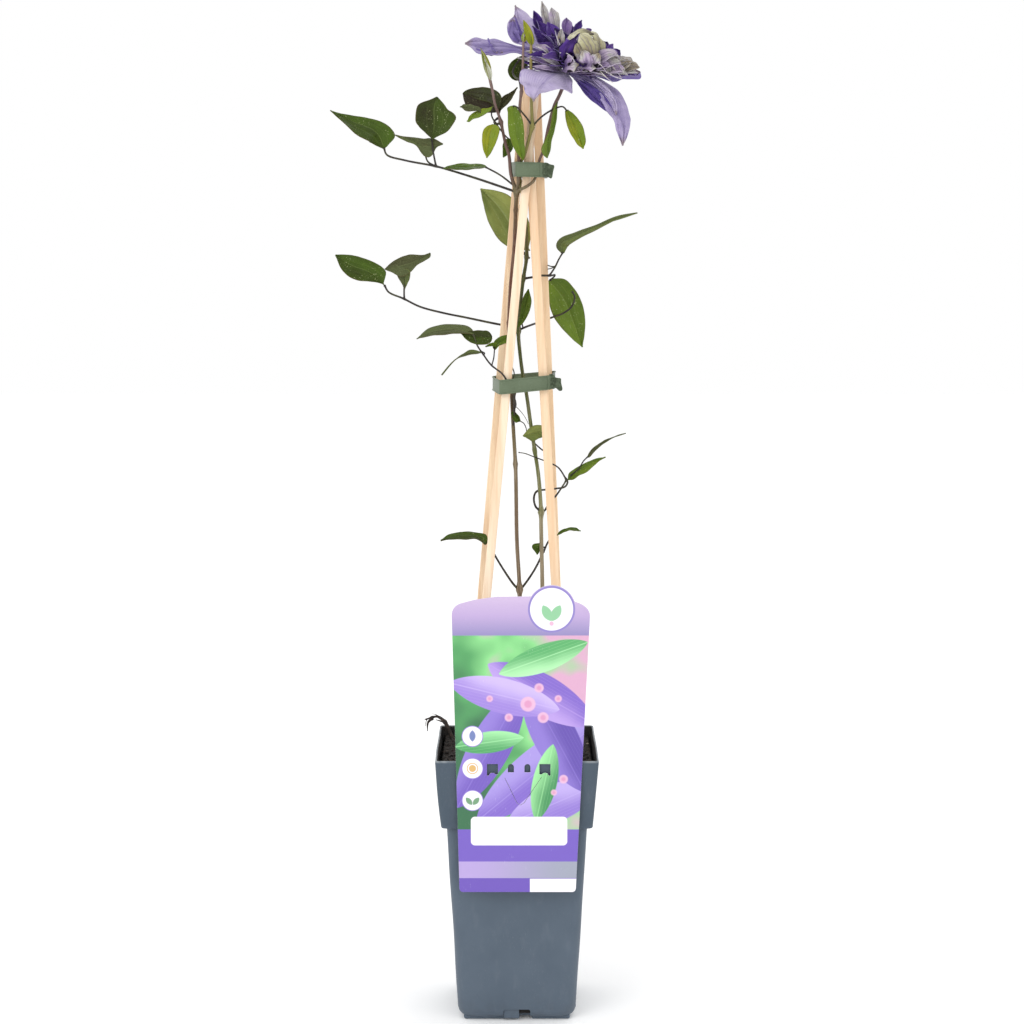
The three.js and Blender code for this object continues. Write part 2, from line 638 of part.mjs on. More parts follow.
// Rings of pointed petals, outermost first. Each petal has its turn and its length.
const petalRings = [
  {
    polar: 82, half: 5.4,
    petals: [[-16, 31], [12, 38], [38, 25], [70, 24], [100, 24], [130, 30], [153, 38], [174, 43], [200, 42],
      [232, 37], [275, 40], [312, 40]],
  },
  {
    polar: 61, half: 7,
    petals: [[-40, 52], [-20, 48], [12, 34], [48, 28], [86, 26], [122, 30], [152, 38], [178, 42], [202, 37],
      [226, 35], [252, 36], [278, 40], [300, 46]],
  },
  {
    polar: 43, half: 6.5,
    petals: [[-10, 40], [25, 34], [75, 29], [125, 30], [165, 34], [205, 32], [250, 34], [285, 38], [318, 45]],
  },
  { polar: 25, half: 6, petals: [[20, 33], [90, 29], [160, 31], [230, 33], [300, 37]] },
];
const tuftRings = [
  { polar: 34, half: 6, petals: [[20, 19], [75, 18], [130, 20], [185, 22], [240, 23], [300, 21]] },
  { polar: 6, half: 5, petals: [[90, 21]] },
];

// The petals of one ring, grown from a point near the heart
function petalsOf({ polar, half, petals }, centre, grow = 0) {
  return petals.map(([turn, length], k) => {
    const open = polar + (k % 2 ? 3 : -3);
    const ray = (angle, reach) => flowerDirection(angle, turn).multiplyScalar(reach);
    const at = (angle, reach) => ray(angle, reach).add(centre).toArray();
    return leafBlade({
      base: at(open, 2), mid: at(open - 6, length * 0.5), tip: at(open, length), half,
      face: flowerDirection(open - 90, turn).toArray(), fold: 16, widest: 0.6, point: 1, rows: 3, columns: 2,
      thickness: blade.petalThickness, wave: 0,
    }, grow);
  });
}

const tuftHeart = onAxis(flower.tuftLift).add(vector(flower.tuftShift));
const makeTuft = (grow = 0) => fuse([
  ...tuftRings.flatMap((ring) => petalsOf(ring, tuftHeart, grow)),
  knot(tuftHeart.toArray(), 4 + grow),
]);

function makePetals() {
  const petals = petalRings.flatMap((ring) => petalsOf(ring, onAxis(flower.coreLift)));
  return fuse([...petals, knot(onAxis(flower.coreLift).toArray(), flower.coreRadius)]);
}

// Soil: the inside of the pot, with a rough top and plain holes for what stands in it
function makeSoil(standing) {
  const { collarFootHalf, collarFootZ, shoulderHalf, footHalf, rimHalf, height, wall } = pot;
  const { floorTopZ, footCorner, shoulderCorner, topCorner } = pot;
  const random = seeded(soil.seed);
  const inset = wall + clearance;
  const ledgeZ = collarFootZ + wall + clearance;
  const slope = (rimHalf - collarFootHalf) / (height - collarFootZ);
  const topHalf = collarFootHalf - inset + slope * (soil.topZ - 4 - collarFootZ);
  const rings = [
    squareRing(footHalf - inset, footCorner - inset, floorTopZ + clearance),
    squareRing(shoulderHalf - inset, shoulderCorner - wall, ledgeZ),
    squareRing(collarFootHalf - inset, topCorner - wall, ledgeZ),
    squareRing(topHalf, topCorner - wall, soil.topZ - 4),
  ];
  for (const share of [0.97, 0.8, 0.6, 0.4, 0.2]) {
    const ring = squareRing(topHalf * share, 6 * share, soil.topZ - (share > 0.9 ? 2 : 0));
    ring.forEach((point) => point.addScaledVector(up, soil.rough * (random() - 0.5)));
    rings.push(ring);
  }
  return standing.reduce((block, thing) => block.subtract(thing), loft(rings));
}

const rootBranches = [
  {
    points: [[-46, 42, 186], [-51.5, 47, 199], [-56, 51, 207.5], [-62, 55, 211], [-67, 57, 209.5],
      [-72, 58, 208]],
    radius: [1.8, 1.6, 1.2, 0.7],
    spacing: 5,
  },
  { points: [[-66, 57, 209], [-69.5, 60, 205], [-70, 61, 198]], radius: [1, 0.9, 0.5], spacing: 4 },
  { points: [[-54, 49, 204], [-57, 54, 206.5], [-63, 57, 208]], radius: [1, 0.5], spacing: 4 },
];

const makeRoot = (grow = 0) => fuse(rootBranches.map((branch) => stalk(branch, grow)));

// Straps round the canes. The corners of the inside of each loop run front left, front right, back right,
// back left.
const straps = {
  clip_lower: {
    z: 476, slope: 0.09,
    corners: [[-12, -27.8], [23.6, -21], [28, 19.8], [-17.5, 19.7]],
    tail: [[-1, 5.2], [3, 3.2], [6.5, 4.2], [9.5, 1.2], [10.6, -5.6], [8, -7.6], [5, -5.4], [-1, -5]],
  },
  clip_upper: {
    z: 632, slope: -0.03,
    corners: [[-0.2, -23.6], [17.6, -23.6], [21.4, 12.4], [-4.3, 12.2]],
    tail: [[-1, 5.2], [2.5, 3.8], [6, 4.6], [8.8, 2.6], [8, -1], [6.8, -6.4], [3, -4.4], [-1, -5]],
  },
};

// Corners moved out by the strap's thickness
function widened(corners, out) {
  return corners.map((corner, k) => {
    const here = new THREE.Vector2(...corner);
    const before = here.clone().sub(new THREE.Vector2(...corners[(k + 3) % 4])).normalize();
    const after = new THREE.Vector2(...corners[(k + 1) % 4]).sub(here).normalize();
    const normals = [before, after].map((run) => new THREE.Vector2(run.y, -run.x));
    const miter = normals[0].clone().add(normals[1]);
    return here.addScaledVector(miter, out / (miter.dot(normals[0])));
  });
}

function prism(outline, depth) {
  const corners = outline.map((point) => (point.isVector2 ? point : new THREE.Vector2(...point)));
  const shape = new THREE.Shape(corners);
  return new THREE.ExtrudeGeometry(shape, { depth, bevelEnabled: false });
}

function makeStrap({ z, slope, corners, tail }) {
  const { thickness, height, holeRadius } = strap;
  const outer = widened(corners, thickness);
  const inner = prism(corners, height + 2).translate(0, 0, -height / 2 - 1);
  const loop = solidFrom(prism(outer, height).translate(0, 0, -height / 2)).subtract(solidFrom(inner));
  const joint = outer[1];
  const lug = box(5, 2.4, height - 0.6, joint.x + 0.8, joint.y + 0.9, 0);
  const flap = prism(tail, thickness).rotateX(Math.PI / 2).translate(joint.x + 0.6, joint.y + 1.5, 0);
  let clip = loop.add(lug.subtract(solidFrom(inner.clone()))).add(solidFrom(flap));
  for (const holeZ of [-2.2, 2.2]) {
    const hole = new THREE.CylinderGeometry(holeRadius, holeRadius, 8, 8);
    hole.translate(joint.x + 1.6, joint.y + 1, holeZ);
    clip = clip.subtract(solidFrom(hole));
  }
  const rise = z - slope * joint.x / 2;
  const shear = new THREE.Matrix4().set(1, 0, 0, 0, 0, 1, 0, 0, slope, 0, 1, rise, 0, 0, 0, 1);
  return clip.transform(shear.elements);
}

// Label. The outline is drawn as seen from the front: x to the right, y for the height.
const labelBadge = { x: 25, z: 316, radius: 17.5, from: 2.58, to: 0.32 };
const labelCutouts = [
  { x: -18, z: 196.9, width: 8.3, height: 9 },
  { x: -4.5, z: 198.2, width: 4.6, height: 6.4 },
  { x: 7.6, z: 198.2, width: 4.6, height: 6.4 },
  { x: 20.4, z: 196.9, width: 8.3, height: 9 },
];
const labelTongue = [[-9, 191], [0, 172], [2.5, 170.5], [5, 172], [18, 191.5]];

function makeLabel() {
  const outline = new THREE.Shape();
  outline.moveTo(-39.5, 105);
  outline.lineTo(40.3, 105);
  outline.quadraticCurveTo(43, 105, 43.2, 108);
  outline.lineTo(52.8, 311);
  outline.quadraticCurveTo(52.5, 318.5, 41.6, 321.5);
  outline.absarc(labelBadge.x, labelBadge.z, labelBadge.radius, labelBadge.to, labelBadge.from, false);
  outline.lineTo(-15, 325.2);
  outline.lineTo(-31, 323);
  outline.lineTo(-41, 320.3);
  outline.quadraticCurveTo(-47.6, 318, -47.3, 311);
  outline.lineTo(-42.3, 108);
  outline.quadraticCurveTo(-42.1, 105, -39.5, 105);
  const options = { depth: label.thickness, bevelEnabled: false, curveSegments: 6 };
  const standUp = (shape) => shape.rotateX(Math.PI / 2).translate(0, label.backY, 0);
  let sheet = solidFrom(standUp(new THREE.ExtrudeGeometry(outline, options)));
  const middleY = label.backY - label.thickness / 2;
  const hookTopZ = pot.height + clearance + label.thickness;
  for (const { x, z, width, height } of labelCutouts) {
    sheet = sheet.subtract(box(width, 4, height, x, middleY, z));
    const bridgeDepth = label.hookReach + label.thickness;
    const bridgeY = label.backY - label.thickness + bridgeDepth / 2;
    const bridgeZ = hookTopZ - label.thickness / 2;
    sheet = sheet.add(box(width - 0.8, bridgeDepth, label.thickness, x, bridgeY, bridgeZ));
    const dropY = label.backY + label.hookReach - label.thickness / 2;
    const dropZ = hookTopZ - label.hookDrop / 2;
    sheet = sheet.add(box(width - 0.8, label.thickness, label.hookDrop, x, dropY, dropZ));
  }
  for (let k = 0; k < labelTongue.length - 1; k++) {
    const [from, to] = [labelTongue[k], labelTongue[k + 1]].map(([x, z]) => new THREE.Vector2(x, z));
    const run = to.clone().sub(from);
    const slit = new THREE.BoxGeometry(run.length() + label.slit, 4, label.slit).rotateY(-run.angle());
    const middle = from.clone().add(to).divideScalar(2);
    sheet = sheet.subtract(solidFrom(slit.translate(middle.x, middleY, middle.y)));
  }
  return sheet;
}

// Everything in its place
const fatBrown = makeStem(brownStalks, brownKnots, clearance);
const fatGreen = makeStem(greenStalks, greenKnots, clearance);
const standing = [...Object.values(canes).map((stick) => makeCane(stick, clearance)), fatBrown, fatGreen];

addNode("pot", makePot(), potPlastic);
addNode("soil", makeSoil([...standing, makeRoot(clearance)]), peat);
addNode("dry_root", makeRoot(), dryBark);
for (const [name, stick] of Object.entries(canes)) addNode(name, makeCane(stick), paleWood);
for (const [name, loop] of Object.entries(straps)) addNode(name, makeStrap(loop), strapPlastic);
addNode("label", makeLabel(), printedSheet);
addNode("stem_brown", makeStem(brownStalks, brownKnots), brownStem);
addNode("stem_green", makeStem(greenStalks, greenKnots), greenStem);
for (const [name, spray] of Object.entries(sprays)) {
  addNode(name, biggest(makeSpray(spray).subtract(fatBrown).subtract(fatGreen)), leafGreen);
}
for (const [name, folded] of Object.entries(shootTips)) addNode(name, stalk(folded), youngLeaf);
addNode("flower_sepals", biggest(makeSepals().subtract(fatBrown)), lilacSepal);
const petalsClear = makePetals().subtract(makeSepals(clearance)).subtract(makeTuft(clearance));
addNode("flower_petals", biggest(petalsClear.subtract(fatBrown)), violetPetal);
addNode("flower_tuft", biggest(makeTuft()), creamTuft);

export default group;
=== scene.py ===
# A potted clematis trained up four canes: the finished looks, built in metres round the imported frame.
import math
import random

import bmesh
import bpy
from mathutils import Matrix, Vector, noise


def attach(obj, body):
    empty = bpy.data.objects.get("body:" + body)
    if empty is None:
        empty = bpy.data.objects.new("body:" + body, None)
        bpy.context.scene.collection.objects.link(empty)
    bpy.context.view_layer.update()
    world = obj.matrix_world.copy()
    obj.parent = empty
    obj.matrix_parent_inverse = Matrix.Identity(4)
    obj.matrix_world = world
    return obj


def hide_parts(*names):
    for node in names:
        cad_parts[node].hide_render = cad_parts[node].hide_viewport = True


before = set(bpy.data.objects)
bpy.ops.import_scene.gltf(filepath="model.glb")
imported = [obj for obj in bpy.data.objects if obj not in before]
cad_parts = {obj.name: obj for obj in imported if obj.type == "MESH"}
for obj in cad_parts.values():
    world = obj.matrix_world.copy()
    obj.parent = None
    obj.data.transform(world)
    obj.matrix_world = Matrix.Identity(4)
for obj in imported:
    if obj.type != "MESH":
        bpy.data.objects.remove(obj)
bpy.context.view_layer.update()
scene = bpy.context.scene
mm = 0.001


def tell(stage):
    print("clematis:", stage)


# Shaders

def tint(code):  # an ordinary hex colour, made linear
    parts = [int(code[k:k + 2], 16) / 255 for k in (0, 2, 4)]
    return [p / 12.92 if p <= 0.04045 else ((p + 0.055) / 1.055) ** 2.4 for p in parts] + [1.0]


class Wire:  # wraps one socket, so that shader maths reads as plain sums
    def __init__(self, shade, socket):
        self.shade = shade
        self.socket = socket

    def does(self, operation, *values):
        return self.shade.add("ShaderNodeMath", {"operation": operation}, dict(enumerate((self, *values))))

    def __add__(self, other):
        return self.does("ADD", other)

    def __sub__(self, other):
        return self.does("SUBTRACT", other)

    def __mul__(self, other):
        return self.does("MULTIPLY", other)

    def __truediv__(self, other):
        return self.does("DIVIDE", other)

    def __pow__(self, other):
        return self.does("POWER", other)

    def __rsub__(self, other):
        return self.shade.add("ShaderNodeMath", {"operation": "SUBTRACT"}, {0: other, 1: self})

    __radd__ = __add__
    __rmul__ = __mul__

    def size(self):
        return self.does("ABSOLUTE")

    def most(self, other):
        return self.does("MAXIMUM", other)

    def part(self):
        return self.does("FRACT")

    def fade(self, low, high):  # 0 below low, 1 above high
        bounds = {"Value": self, "From Min": low, "From Max": high}
        return self.shade.add("ShaderNodeMapRange", {"interpolation_type": "SMOOTHSTEP"}, bounds)

    def axes(self):
        split = self.shade.add("ShaderNodeSeparateXYZ", {}, {0: self})
        return [Wire(self.shade, socket) for socket in split.socket.node.outputs]


class Shade:
    def __init__(self, name, fixed):
        self.material = bpy.data.materials.new(name)
        self.material.use_nodes = True
        self.tree = self.material.node_tree
        self.shader = self.tree.nodes["Principled BSDF"]
        for key, value in fixed.items():
            self.shader.inputs[key].default_value = value

    def add(self, kind, settings, inputs, output=0):
        node = self.tree.nodes.new(kind)
        for key, value in settings.items():
            if key == "stops":
                ramp = node.color_ramp.elements
                ramp[0].position, ramp[0].color = value[0][0], tint(value[0][1])
                ramp[1].position, ramp[1].color = value[-1][0], tint(value[-1][1])
                for position, code in value[1:-1]:
                    ramp.new(position).color = tint(code)
            else:
                setattr(node, key, value)
        for key, value in inputs.items():
            if isinstance(value, Wire):
                self.tree.links.new(value.socket, node.inputs[key])
            else:
                node.inputs[key].default_value = value
        return Wire(self, node.outputs[output])

    def place(self, stretch=(1.0, 1.0, 1.0)):  # object coordinates
        spot = self.add("ShaderNodeTexCoord", {}, {}, "Object")
        return self.add("ShaderNodeMapping", {}, {"Vector": spot, "Scale": stretch})

    def inMm(self, axis):  # 0 for x, 1 for y, 2 for the height
        return self.place().axes()[axis] * 1000

    def map(self, name):
        return self.add("ShaderNodeUVMap", {"uv_map": name}, {})

    def own(self, name):
        return self.add("ShaderNodeAttribute", {"attribute_name": name}, {}, "Fac")

    def cloud(self, size, stretch=(1.0, 1.0, 1.0), detail=3.0, rough=0.55):  # size in mm
        inputs = {"Vector": self.place(stretch), "Scale": 1000 / size, "Detail": detail, "Roughness": rough}
        return self.add("ShaderNodeTexNoise", {}, inputs)

    def cells(self, size, feature="DISTANCE_TO_EDGE", stretch=(1.0, 1.0, 1.0)):
        inputs = {"Vector": self.place(stretch), "Scale": 1000 / size}
        return self.add("ShaderNodeTexVoronoi", {"feature": feature}, inputs)

    def ramp(self, factor, stops):
        return self.add("ShaderNodeValToRGB", {"stops": stops}, {"Fac": factor})

    def mix(self, factor, first, second):
        first, second = [tint(c) if isinstance(c, str) else c for c in (first, second)]
        return self.add("ShaderNodeMix", {"data_type": "RGBA"}, {0: factor, 6: first, 7: second}, 2)

    def over(self, colour, *layers):  # each layer is a mask and the colour that it lays over the rest
        for mask, layer in layers:
            colour = self.mix(mask, colour, layer)
        return colour

    def finish(self, colour, roughness, height=None, depth=0.1, strength=0.6):  # depth in mm
        self.tree.links.new(colour.socket, self.shader.inputs["Base Color"])
        if isinstance(roughness, Wire):
            self.tree.links.new(roughness.socket, self.shader.inputs["Roughness"])
        else:
            self.shader.inputs["Roughness"].default_value = roughness
        if height:
            inputs = {"Height": height, "Strength": strength, "Distance": depth * mm}
            bump = self.add("ShaderNodeBump", {}, inputs)
            self.tree.links.new(bump.socket, self.shader.inputs["Normal"])
        return self


# Shared making

def loose(name, data):  # an object in the scene, not yet a piece
    thing = bpy.data.objects.new(name, data)
    scene.collection.objects.link(thing)
    return thing


def show(name, mesh, shades, slot, *nodes):
    piece = loose(name, mesh)
    for shade in shades:
        mesh.materials.append(shade.material)
    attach(piece, "root")
    if nodes:
        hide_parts(*nodes)
    return piece


def inMetres(bm):
    bmesh.ops.scale(bm, vec=(mm, mm, mm), verts=bm.verts)
    return bm


def meshOf(bm, name):
    mesh = bpy.data.meshes.new(name)
    bm.to_mesh(mesh)
    bm.free()
    return mesh


def frozen(thing):  # the mesh that its curve or its modifiers make
    bpy.context.view_layer.update()
    return bpy.data.meshes.new_from_object(thing.evaluated_get(bpy.context.evaluated_depsgraph_get()))


def settled(piece):  # the piece with its modifiers applied
    mesh = frozen(piece)
    piece.modifiers.clear()
    piece.data = mesh
    return piece


def only(items, sort):  # those of one sort among what an operator made
    return [item for item in items if isinstance(item, sort)]


def openEdges(items):
    return [edge for edge in only(items, bmesh.types.BMEdge) if edge.is_boundary]


def nextRing(bm, edges, ring):  # extrudes a ring of points, and gives the new one in the same order
    made = bmesh.ops.extrude_edge_only(bm, edges=edges)["geom"]
    order = {tuple(vert.co): k for k, vert in enumerate(ring)}
    return sorted(only(made, bmesh.types.BMVert), key=lambda vert: order[tuple(vert.co)]), made


def addBox(bm, size, middle, bevel):
    box = bmesh.ops.create_cube(bm, size=1.0)["verts"]
    bmesh.ops.scale(bm, vec=size, verts=box)
    bmesh.ops.translate(bm, vec=middle, verts=box)
    edges = list(dict.fromkeys(edge for vert in box for edge in vert.link_edges))
    bmesh.ops.bevel(bm, geom=edges, offset=bevel, segments=2, profile=0.5, affect="EDGES", material=-1)


def sliced(bm, levels, axis):  # cuts across the whole mesh, so that it can bend
    for level in levels:
        everything = bm.verts[:] + bm.edges[:] + bm.faces[:]
        bmesh.ops.bisect_plane(bm, geom=everything, plane_co=axis * level, plane_no=axis)


def block(name, size, middle, turn, bevel):  # a box in mm, as a loose object
    bm = bmesh.new()
    addBox(bm, size, middle, bevel)
    bmesh.ops.rotate(bm, cent=(0, 0, 0), matrix=Matrix.Rotation(turn, 3, "Z"), verts=bm.verts)
    return loose(name, meshOf(inMetres(bm), name))


def drum(name, radius, height, draft):  # a standing cylinder in mm, from the floor up
    bm = bmesh.new()
    low, high = radius - draft, radius
    bmesh.ops.create_cone(bm, cap_ends=True, segments=40, radius1=low, radius2=high, depth=height)
    bmesh.ops.translate(bm, vec=(0, 0, height / 2), verts=bm.verts)
    return loose(name, meshOf(inMetres(bm), name))


def carved(piece, cutters, operation="DIFFERENCE"):
    for cutter in cutters:
        tool = piece.modifiers.new("cut", "BOOLEAN")
        tool.operation = operation
        tool.solver = "EXACT"
        tool.object = cutter
    settled(piece)
    for cutter in cutters:
        bpy.data.objects.remove(cutter)


def smoothed(piece, sharpAngle):
    for polygon in piece.data.polygons:
        polygon.use_smooth = True
    piece.data.set_sharp_from_angle(angle=math.radians(sharpAngle))


def smoothPoint(knots, t):  # centripetal curve through all the knots
    last = len(knots) - 1
    spot = min(max(t, 0.0), 1.0) * last
    k = min(int(spot), last - 1)
    w = spot - k
    b, c = knots[k], knots[k + 1]
    a = knots[k - 1] if k else 2 * knots[0] - knots[1]
    d = knots[k + 2] if k + 2 <= last else 2 * knots[last] - knots[last - 1]
    gaps = [(q - p).length ** 0.5 for p, q in ((a, b), (b, c), (c, d))]
    g1 = gaps[1] if gaps[1] > 1e-4 else 1.0
    g0 = gaps[0] if gaps[0] > 1e-4 else g1
    g2 = gaps[2] if gaps[2] > 1e-4 else g1
    t1 = ((b - a) / g0 - (c - a) / (g0 + g1) + (c - b) / g1) * g1
    t2 = ((c - b) / g1 - (d - b) / (g1 + g2) + (d - c) / g2) * g1
    return b + t1 * w + (3 * c - 3 * b - 2 * t1 - t2) * w * w + (2 * b - 2 * c + t1 + t2) * w ** 3


def evenPath(points, spacing, samples=240):  # points in mm; evenly spaced points in metres
    knots = [Vector(p) for p in points]
    fine = [smoothPoint(knots, k / samples) for k in range(samples + 1)]
    reach = [0.0]
    for a, b in zip(fine, fine[1:]):
        reach.append(reach[-1] + (b - a).length)
    steps = max(len(points), math.ceil(reach[-1] / spacing))
    rows, k = [], 0
    for step in range(steps + 1):
        goal = reach[-1] * step / steps
        while k < samples - 1 and reach[k + 1] < goal:
            k += 1
        share = (goal - reach[k]) / max(reach[k + 1] - reach[k], 1e-9)
        rows.append(fine[k].lerp(fine[k + 1], min(max(share, 0.0), 1.0)) * mm)
    return rows


def between(values, t):
    place = min(max(t, 0.0), 1.0) * (len(values) - 1)
    k = min(int(place), len(values) - 2)
    return values[k] + (values[k + 1] - values[k]) * (place - k)


stalkLook = {"sides": 8, "ribbedSides": 12, "bumps": 300, "swell": 1.1}


def stalkMesh(name, strands, spacing=1.6, ribs=0.0, swellings=(), rough=0.05):
    outline = bpy.data.curves.new("outline", "CURVE")
    outline.dimensions = "2D"
    ring = outline.splines.new("POLY")
    sides = stalkLook["ribbedSides" if ribs else "sides"]
    ring.points.add(sides - 1)
    ring.use_cyclic_u = True
    for k, point in enumerate(ring.points):
        r = mm * (1 - ribs * (k % 2))
        point.co = (r * math.cos(2 * math.pi * k / sides), r * math.sin(2 * math.pi * k / sides), 0, 1)
    curve = bpy.data.curves.new(name, "CURVE")
    curve.dimensions = "3D"
    curve.bevel_mode = "OBJECT"
    curve.bevel_object = loose("outline", outline)
    curve.use_fill_caps = True
    for points, radii in strands:
        rows = evenPath(points, spacing)
        strand = curve.splines.new("POLY")
        strand.points.add(len(rows) - 1)
        for k, spot in enumerate(rows):
            bump = rough * noise.noise(spot * stalkLook["bumps"])
            radius = between(radii, k / (len(rows) - 1)) * (1 + bump)
            for middle, size in swellings:
                away = (spot - Vector(middle) * mm).length / mm
                radius += max(size - radius, 0) * math.exp(-(away / (stalkLook["swell"] * size)) ** 2)
            strand.points[k].co = (*spot, 1)
            strand.points[k].radius = radius
    holder = loose(name, curve)
    mesh = frozen(holder)
    for thing in (holder, curve.bevel_object):
        bpy.data.objects.remove(thing)
    for polygon in mesh.polygons:
        polygon.use_smooth = True
    return mesh


# Blades: leaves, sepals and petals. A spine in mm, how wide, how light its colour is, and the way it faces.

bladeNoise = {"margin": (9, 1, 0), "crumple": (5, 2.2, 7), "tone": (3, 3, 3)}  # along, across, shift of seed


def shaped(spine, left, right, tone, face=(0, -1, 0.25), **more):  # widths on each side, from base to tip
    return {"spine": spine, "left": left, "right": right, "tone": tone, "face": face, **more}


def plain(spine, half, tone, face=(0, -1, 0.25), **more):  # one half width at its widest
    return {"spine": spine, "half": half, "tone": tone, "face": face, **more}


def edgeAt(widths, t):  # a smooth line through widths that lie closer together near both ends
    place = math.acos(1 - 2 * min(max(t, 0.0), 1.0)) / math.pi * (len(widths) - 1)
    k = min(int(place), len(widths) - 2)
    w = place - k
    a, b, c, d = [widths[min(max(j, 0), len(widths) - 1)] for j in range(k - 1, k + 3)]
    return b + 0.5 * w * (c - a + w * (2 * a - 5 * b + 4 * c - d + w * (3 * (b - c) + d - a)))


def shapeBlade(bm, blade, look, seed):
    knots = [Vector(knot) for knot in blade["spine"]]
    face = Vector(blade["face"]).normalized()
    fold = math.radians(blade.get("fold", 12))
    cup, wave, waves = blade.get("cup", 0.1), blade.get("wave", 0.05), blade.get("waves", 1.5)
    skew = math.log(0.5) / math.log(blade.get("widest", 0.36))
    point = blade.get("point", 0.85)
    rows = {}

    def rowAt(u):
        if u not in rows:
            along = (smoothPoint(knots, u + 1e-4) - smoothPoint(knots, u - 1e-4)).normalized()
            side = along.cross(face).normalized()
            if "left" in blade:
                widths = [edgeAt(blade[edge], u) for edge in ("left", "right")]
            else:
                widths = [blade["half"] * max(math.sin(math.pi * u ** skew), 0) ** point] * 2
            widths = [max(width, look["edge"]) for width in widths]
            rows[u] = smoothPoint(knots, u), side, side.cross(along).normalized(), widths
        return rows[u]

    def unevenness(sort, u, v):
        along, across, shift = bladeNoise[sort]
        return noise.noise(Vector((u * along, v * across, seed + shift)))

    grid = bmesh.ops.create_grid(bm, x_segments=look["across"], y_segments=look["along"], size=1.0)["verts"]
    places = {vert: (0.5 + vert.co.y / 4 + math.sin(math.pi * vert.co.y / 2) / 4, vert.co.x) for vert in grid}
    uvMap = bm.loops.layers.uv["bladeMap"]
    tones = bm.verts.layers.float["tone"]
    for vert, (u, v) in places.items():
        middle, side, lift, widths = rowAt(u)
        width = widths[v > 0]
        margin = 1 + look["ragged"] * unevenness("margin", u, v)
        rise = math.sin(fold) * abs(v) + cup * v * v
        rise += wave * math.sin(2 * math.pi * waves * u + math.copysign(1, v) * (v != 0)) * v * v
        relief = look["crumple"] * unevenness("crumple", u, v) * min(u * 5, 1)
        for middleLine, spread, depth in look["ribs"]:
            lean = (abs(v) - middleLine * (1 - 0.3 * u)) / spread
            relief += depth * math.exp(-lean * lean) * min(u * 4, 1, (1 - u) * 6)
        spot = middle + side * (v * width * math.cos(fold) * margin) + lift * (rise * width + relief)
        vert.co = spot * mm
        vert[tones] = blade["tone"] + 0.05 * unevenness("tone", u, v)
    for polygon in {polygon for vert in grid for polygon in vert.link_faces}:
        polygon.smooth = True
        polygon.material_index = 1 if blade.get("under") else 0
        for loop in polygon.loops:
            loop[uvMap].uv = places[loop.vert]


def makeBlades(name, blades, look, shades, slot, node, seed):
    bm = bmesh.new()
    bm.loops.layers.uv.new("bladeMap")
    bm.verts.layers.float.new("tone")
    for k, blade in enumerate(blades):
        shapeBlade(bm, blade, look, seed + k * 1.7)
    piece = show(name, meshOf(bm, name), (shades[0], shades[1], shades[0]), slot, node)
    wall = piece.modifiers.new("wall", "SOLIDIFY")
    wall.thickness = look["wall"] * mm
    wall.offset = 0
    wall.material_offset = 1
    settled(piece)


# Floor, light and camera

studio = {
    "floor": "fbfbfb", "backdrop": "ffffff", "ambient": 1.0, "reach": 6.0,
    "lamps": {  # power, place, what it points at, width
        "key": (11.0, (-1.1, -1.5, 1.5), (0, 0, 0.45), 1.1),
        "fill": (3.0, (1.5, -1.3, 0.9), (0, 0, 0.4), 1.2),
        "back": (5.0, (0.5, 1.4, 1.6), (0, 0, 0.45), 1.2),
    },
    "camera": {"place": (-0.0037, -1.7, 0.6), "tilt": 82.6, "lens": 80.61, "sensor": 36, "near": 0.05},
}


def makeFloor():
    bm = bmesh.new()
    bmesh.ops.create_grid(bm, x_segments=1, y_segments=1, size=studio["reach"])
    floor = loose("floor", meshOf(bm, "floor"))
    s = Shade("paleFloor", {"Emission Strength": 0.05})
    colour = s.mix(s.cloud(240, detail=2), studio["floor"], studio["backdrop"])
    floor.data.materials.append(s.finish(colour, 0.8).material)


def makeLights():
    scene.view_settings.view_transform = "Standard"
    scene.world = bpy.data.worlds.new("studio")
    scene.world.use_nodes = True
    background = scene.world.node_tree.nodes["Background"].inputs
    background["Color"].default_value = tint(studio["backdrop"])
    background["Strength"].default_value = studio["ambient"]
    for name, (power, spot, aim, size) in studio["lamps"].items():
        lamp = bpy.data.lights.new(name, "AREA")
        lamp.energy = power
        lamp.size = size
        holder = loose(name, lamp)
        holder.location = spot
        holder.rotation_euler = (Vector(aim) - Vector(spot)).to_track_quat("-Z", "Y").to_euler()


def makeCamera():
    look = studio["camera"]
    camera = loose("camera", bpy.data.cameras.new("camera"))
    camera.location = look["place"]
    camera.rotation_euler = (math.radians(look["tilt"]), 0, 0)
    camera.data.lens = look["lens"]
    camera.data.sensor_width = look["sensor"]
    camera.data.clip_start = look["near"]
    scene.camera = camera


makeFloor()
makeLights()
makeCamera()
tell("studio ready")

# Pot: thin moulded plastic with a wide collar. Rings of (half width, corner radius, height) in mm.

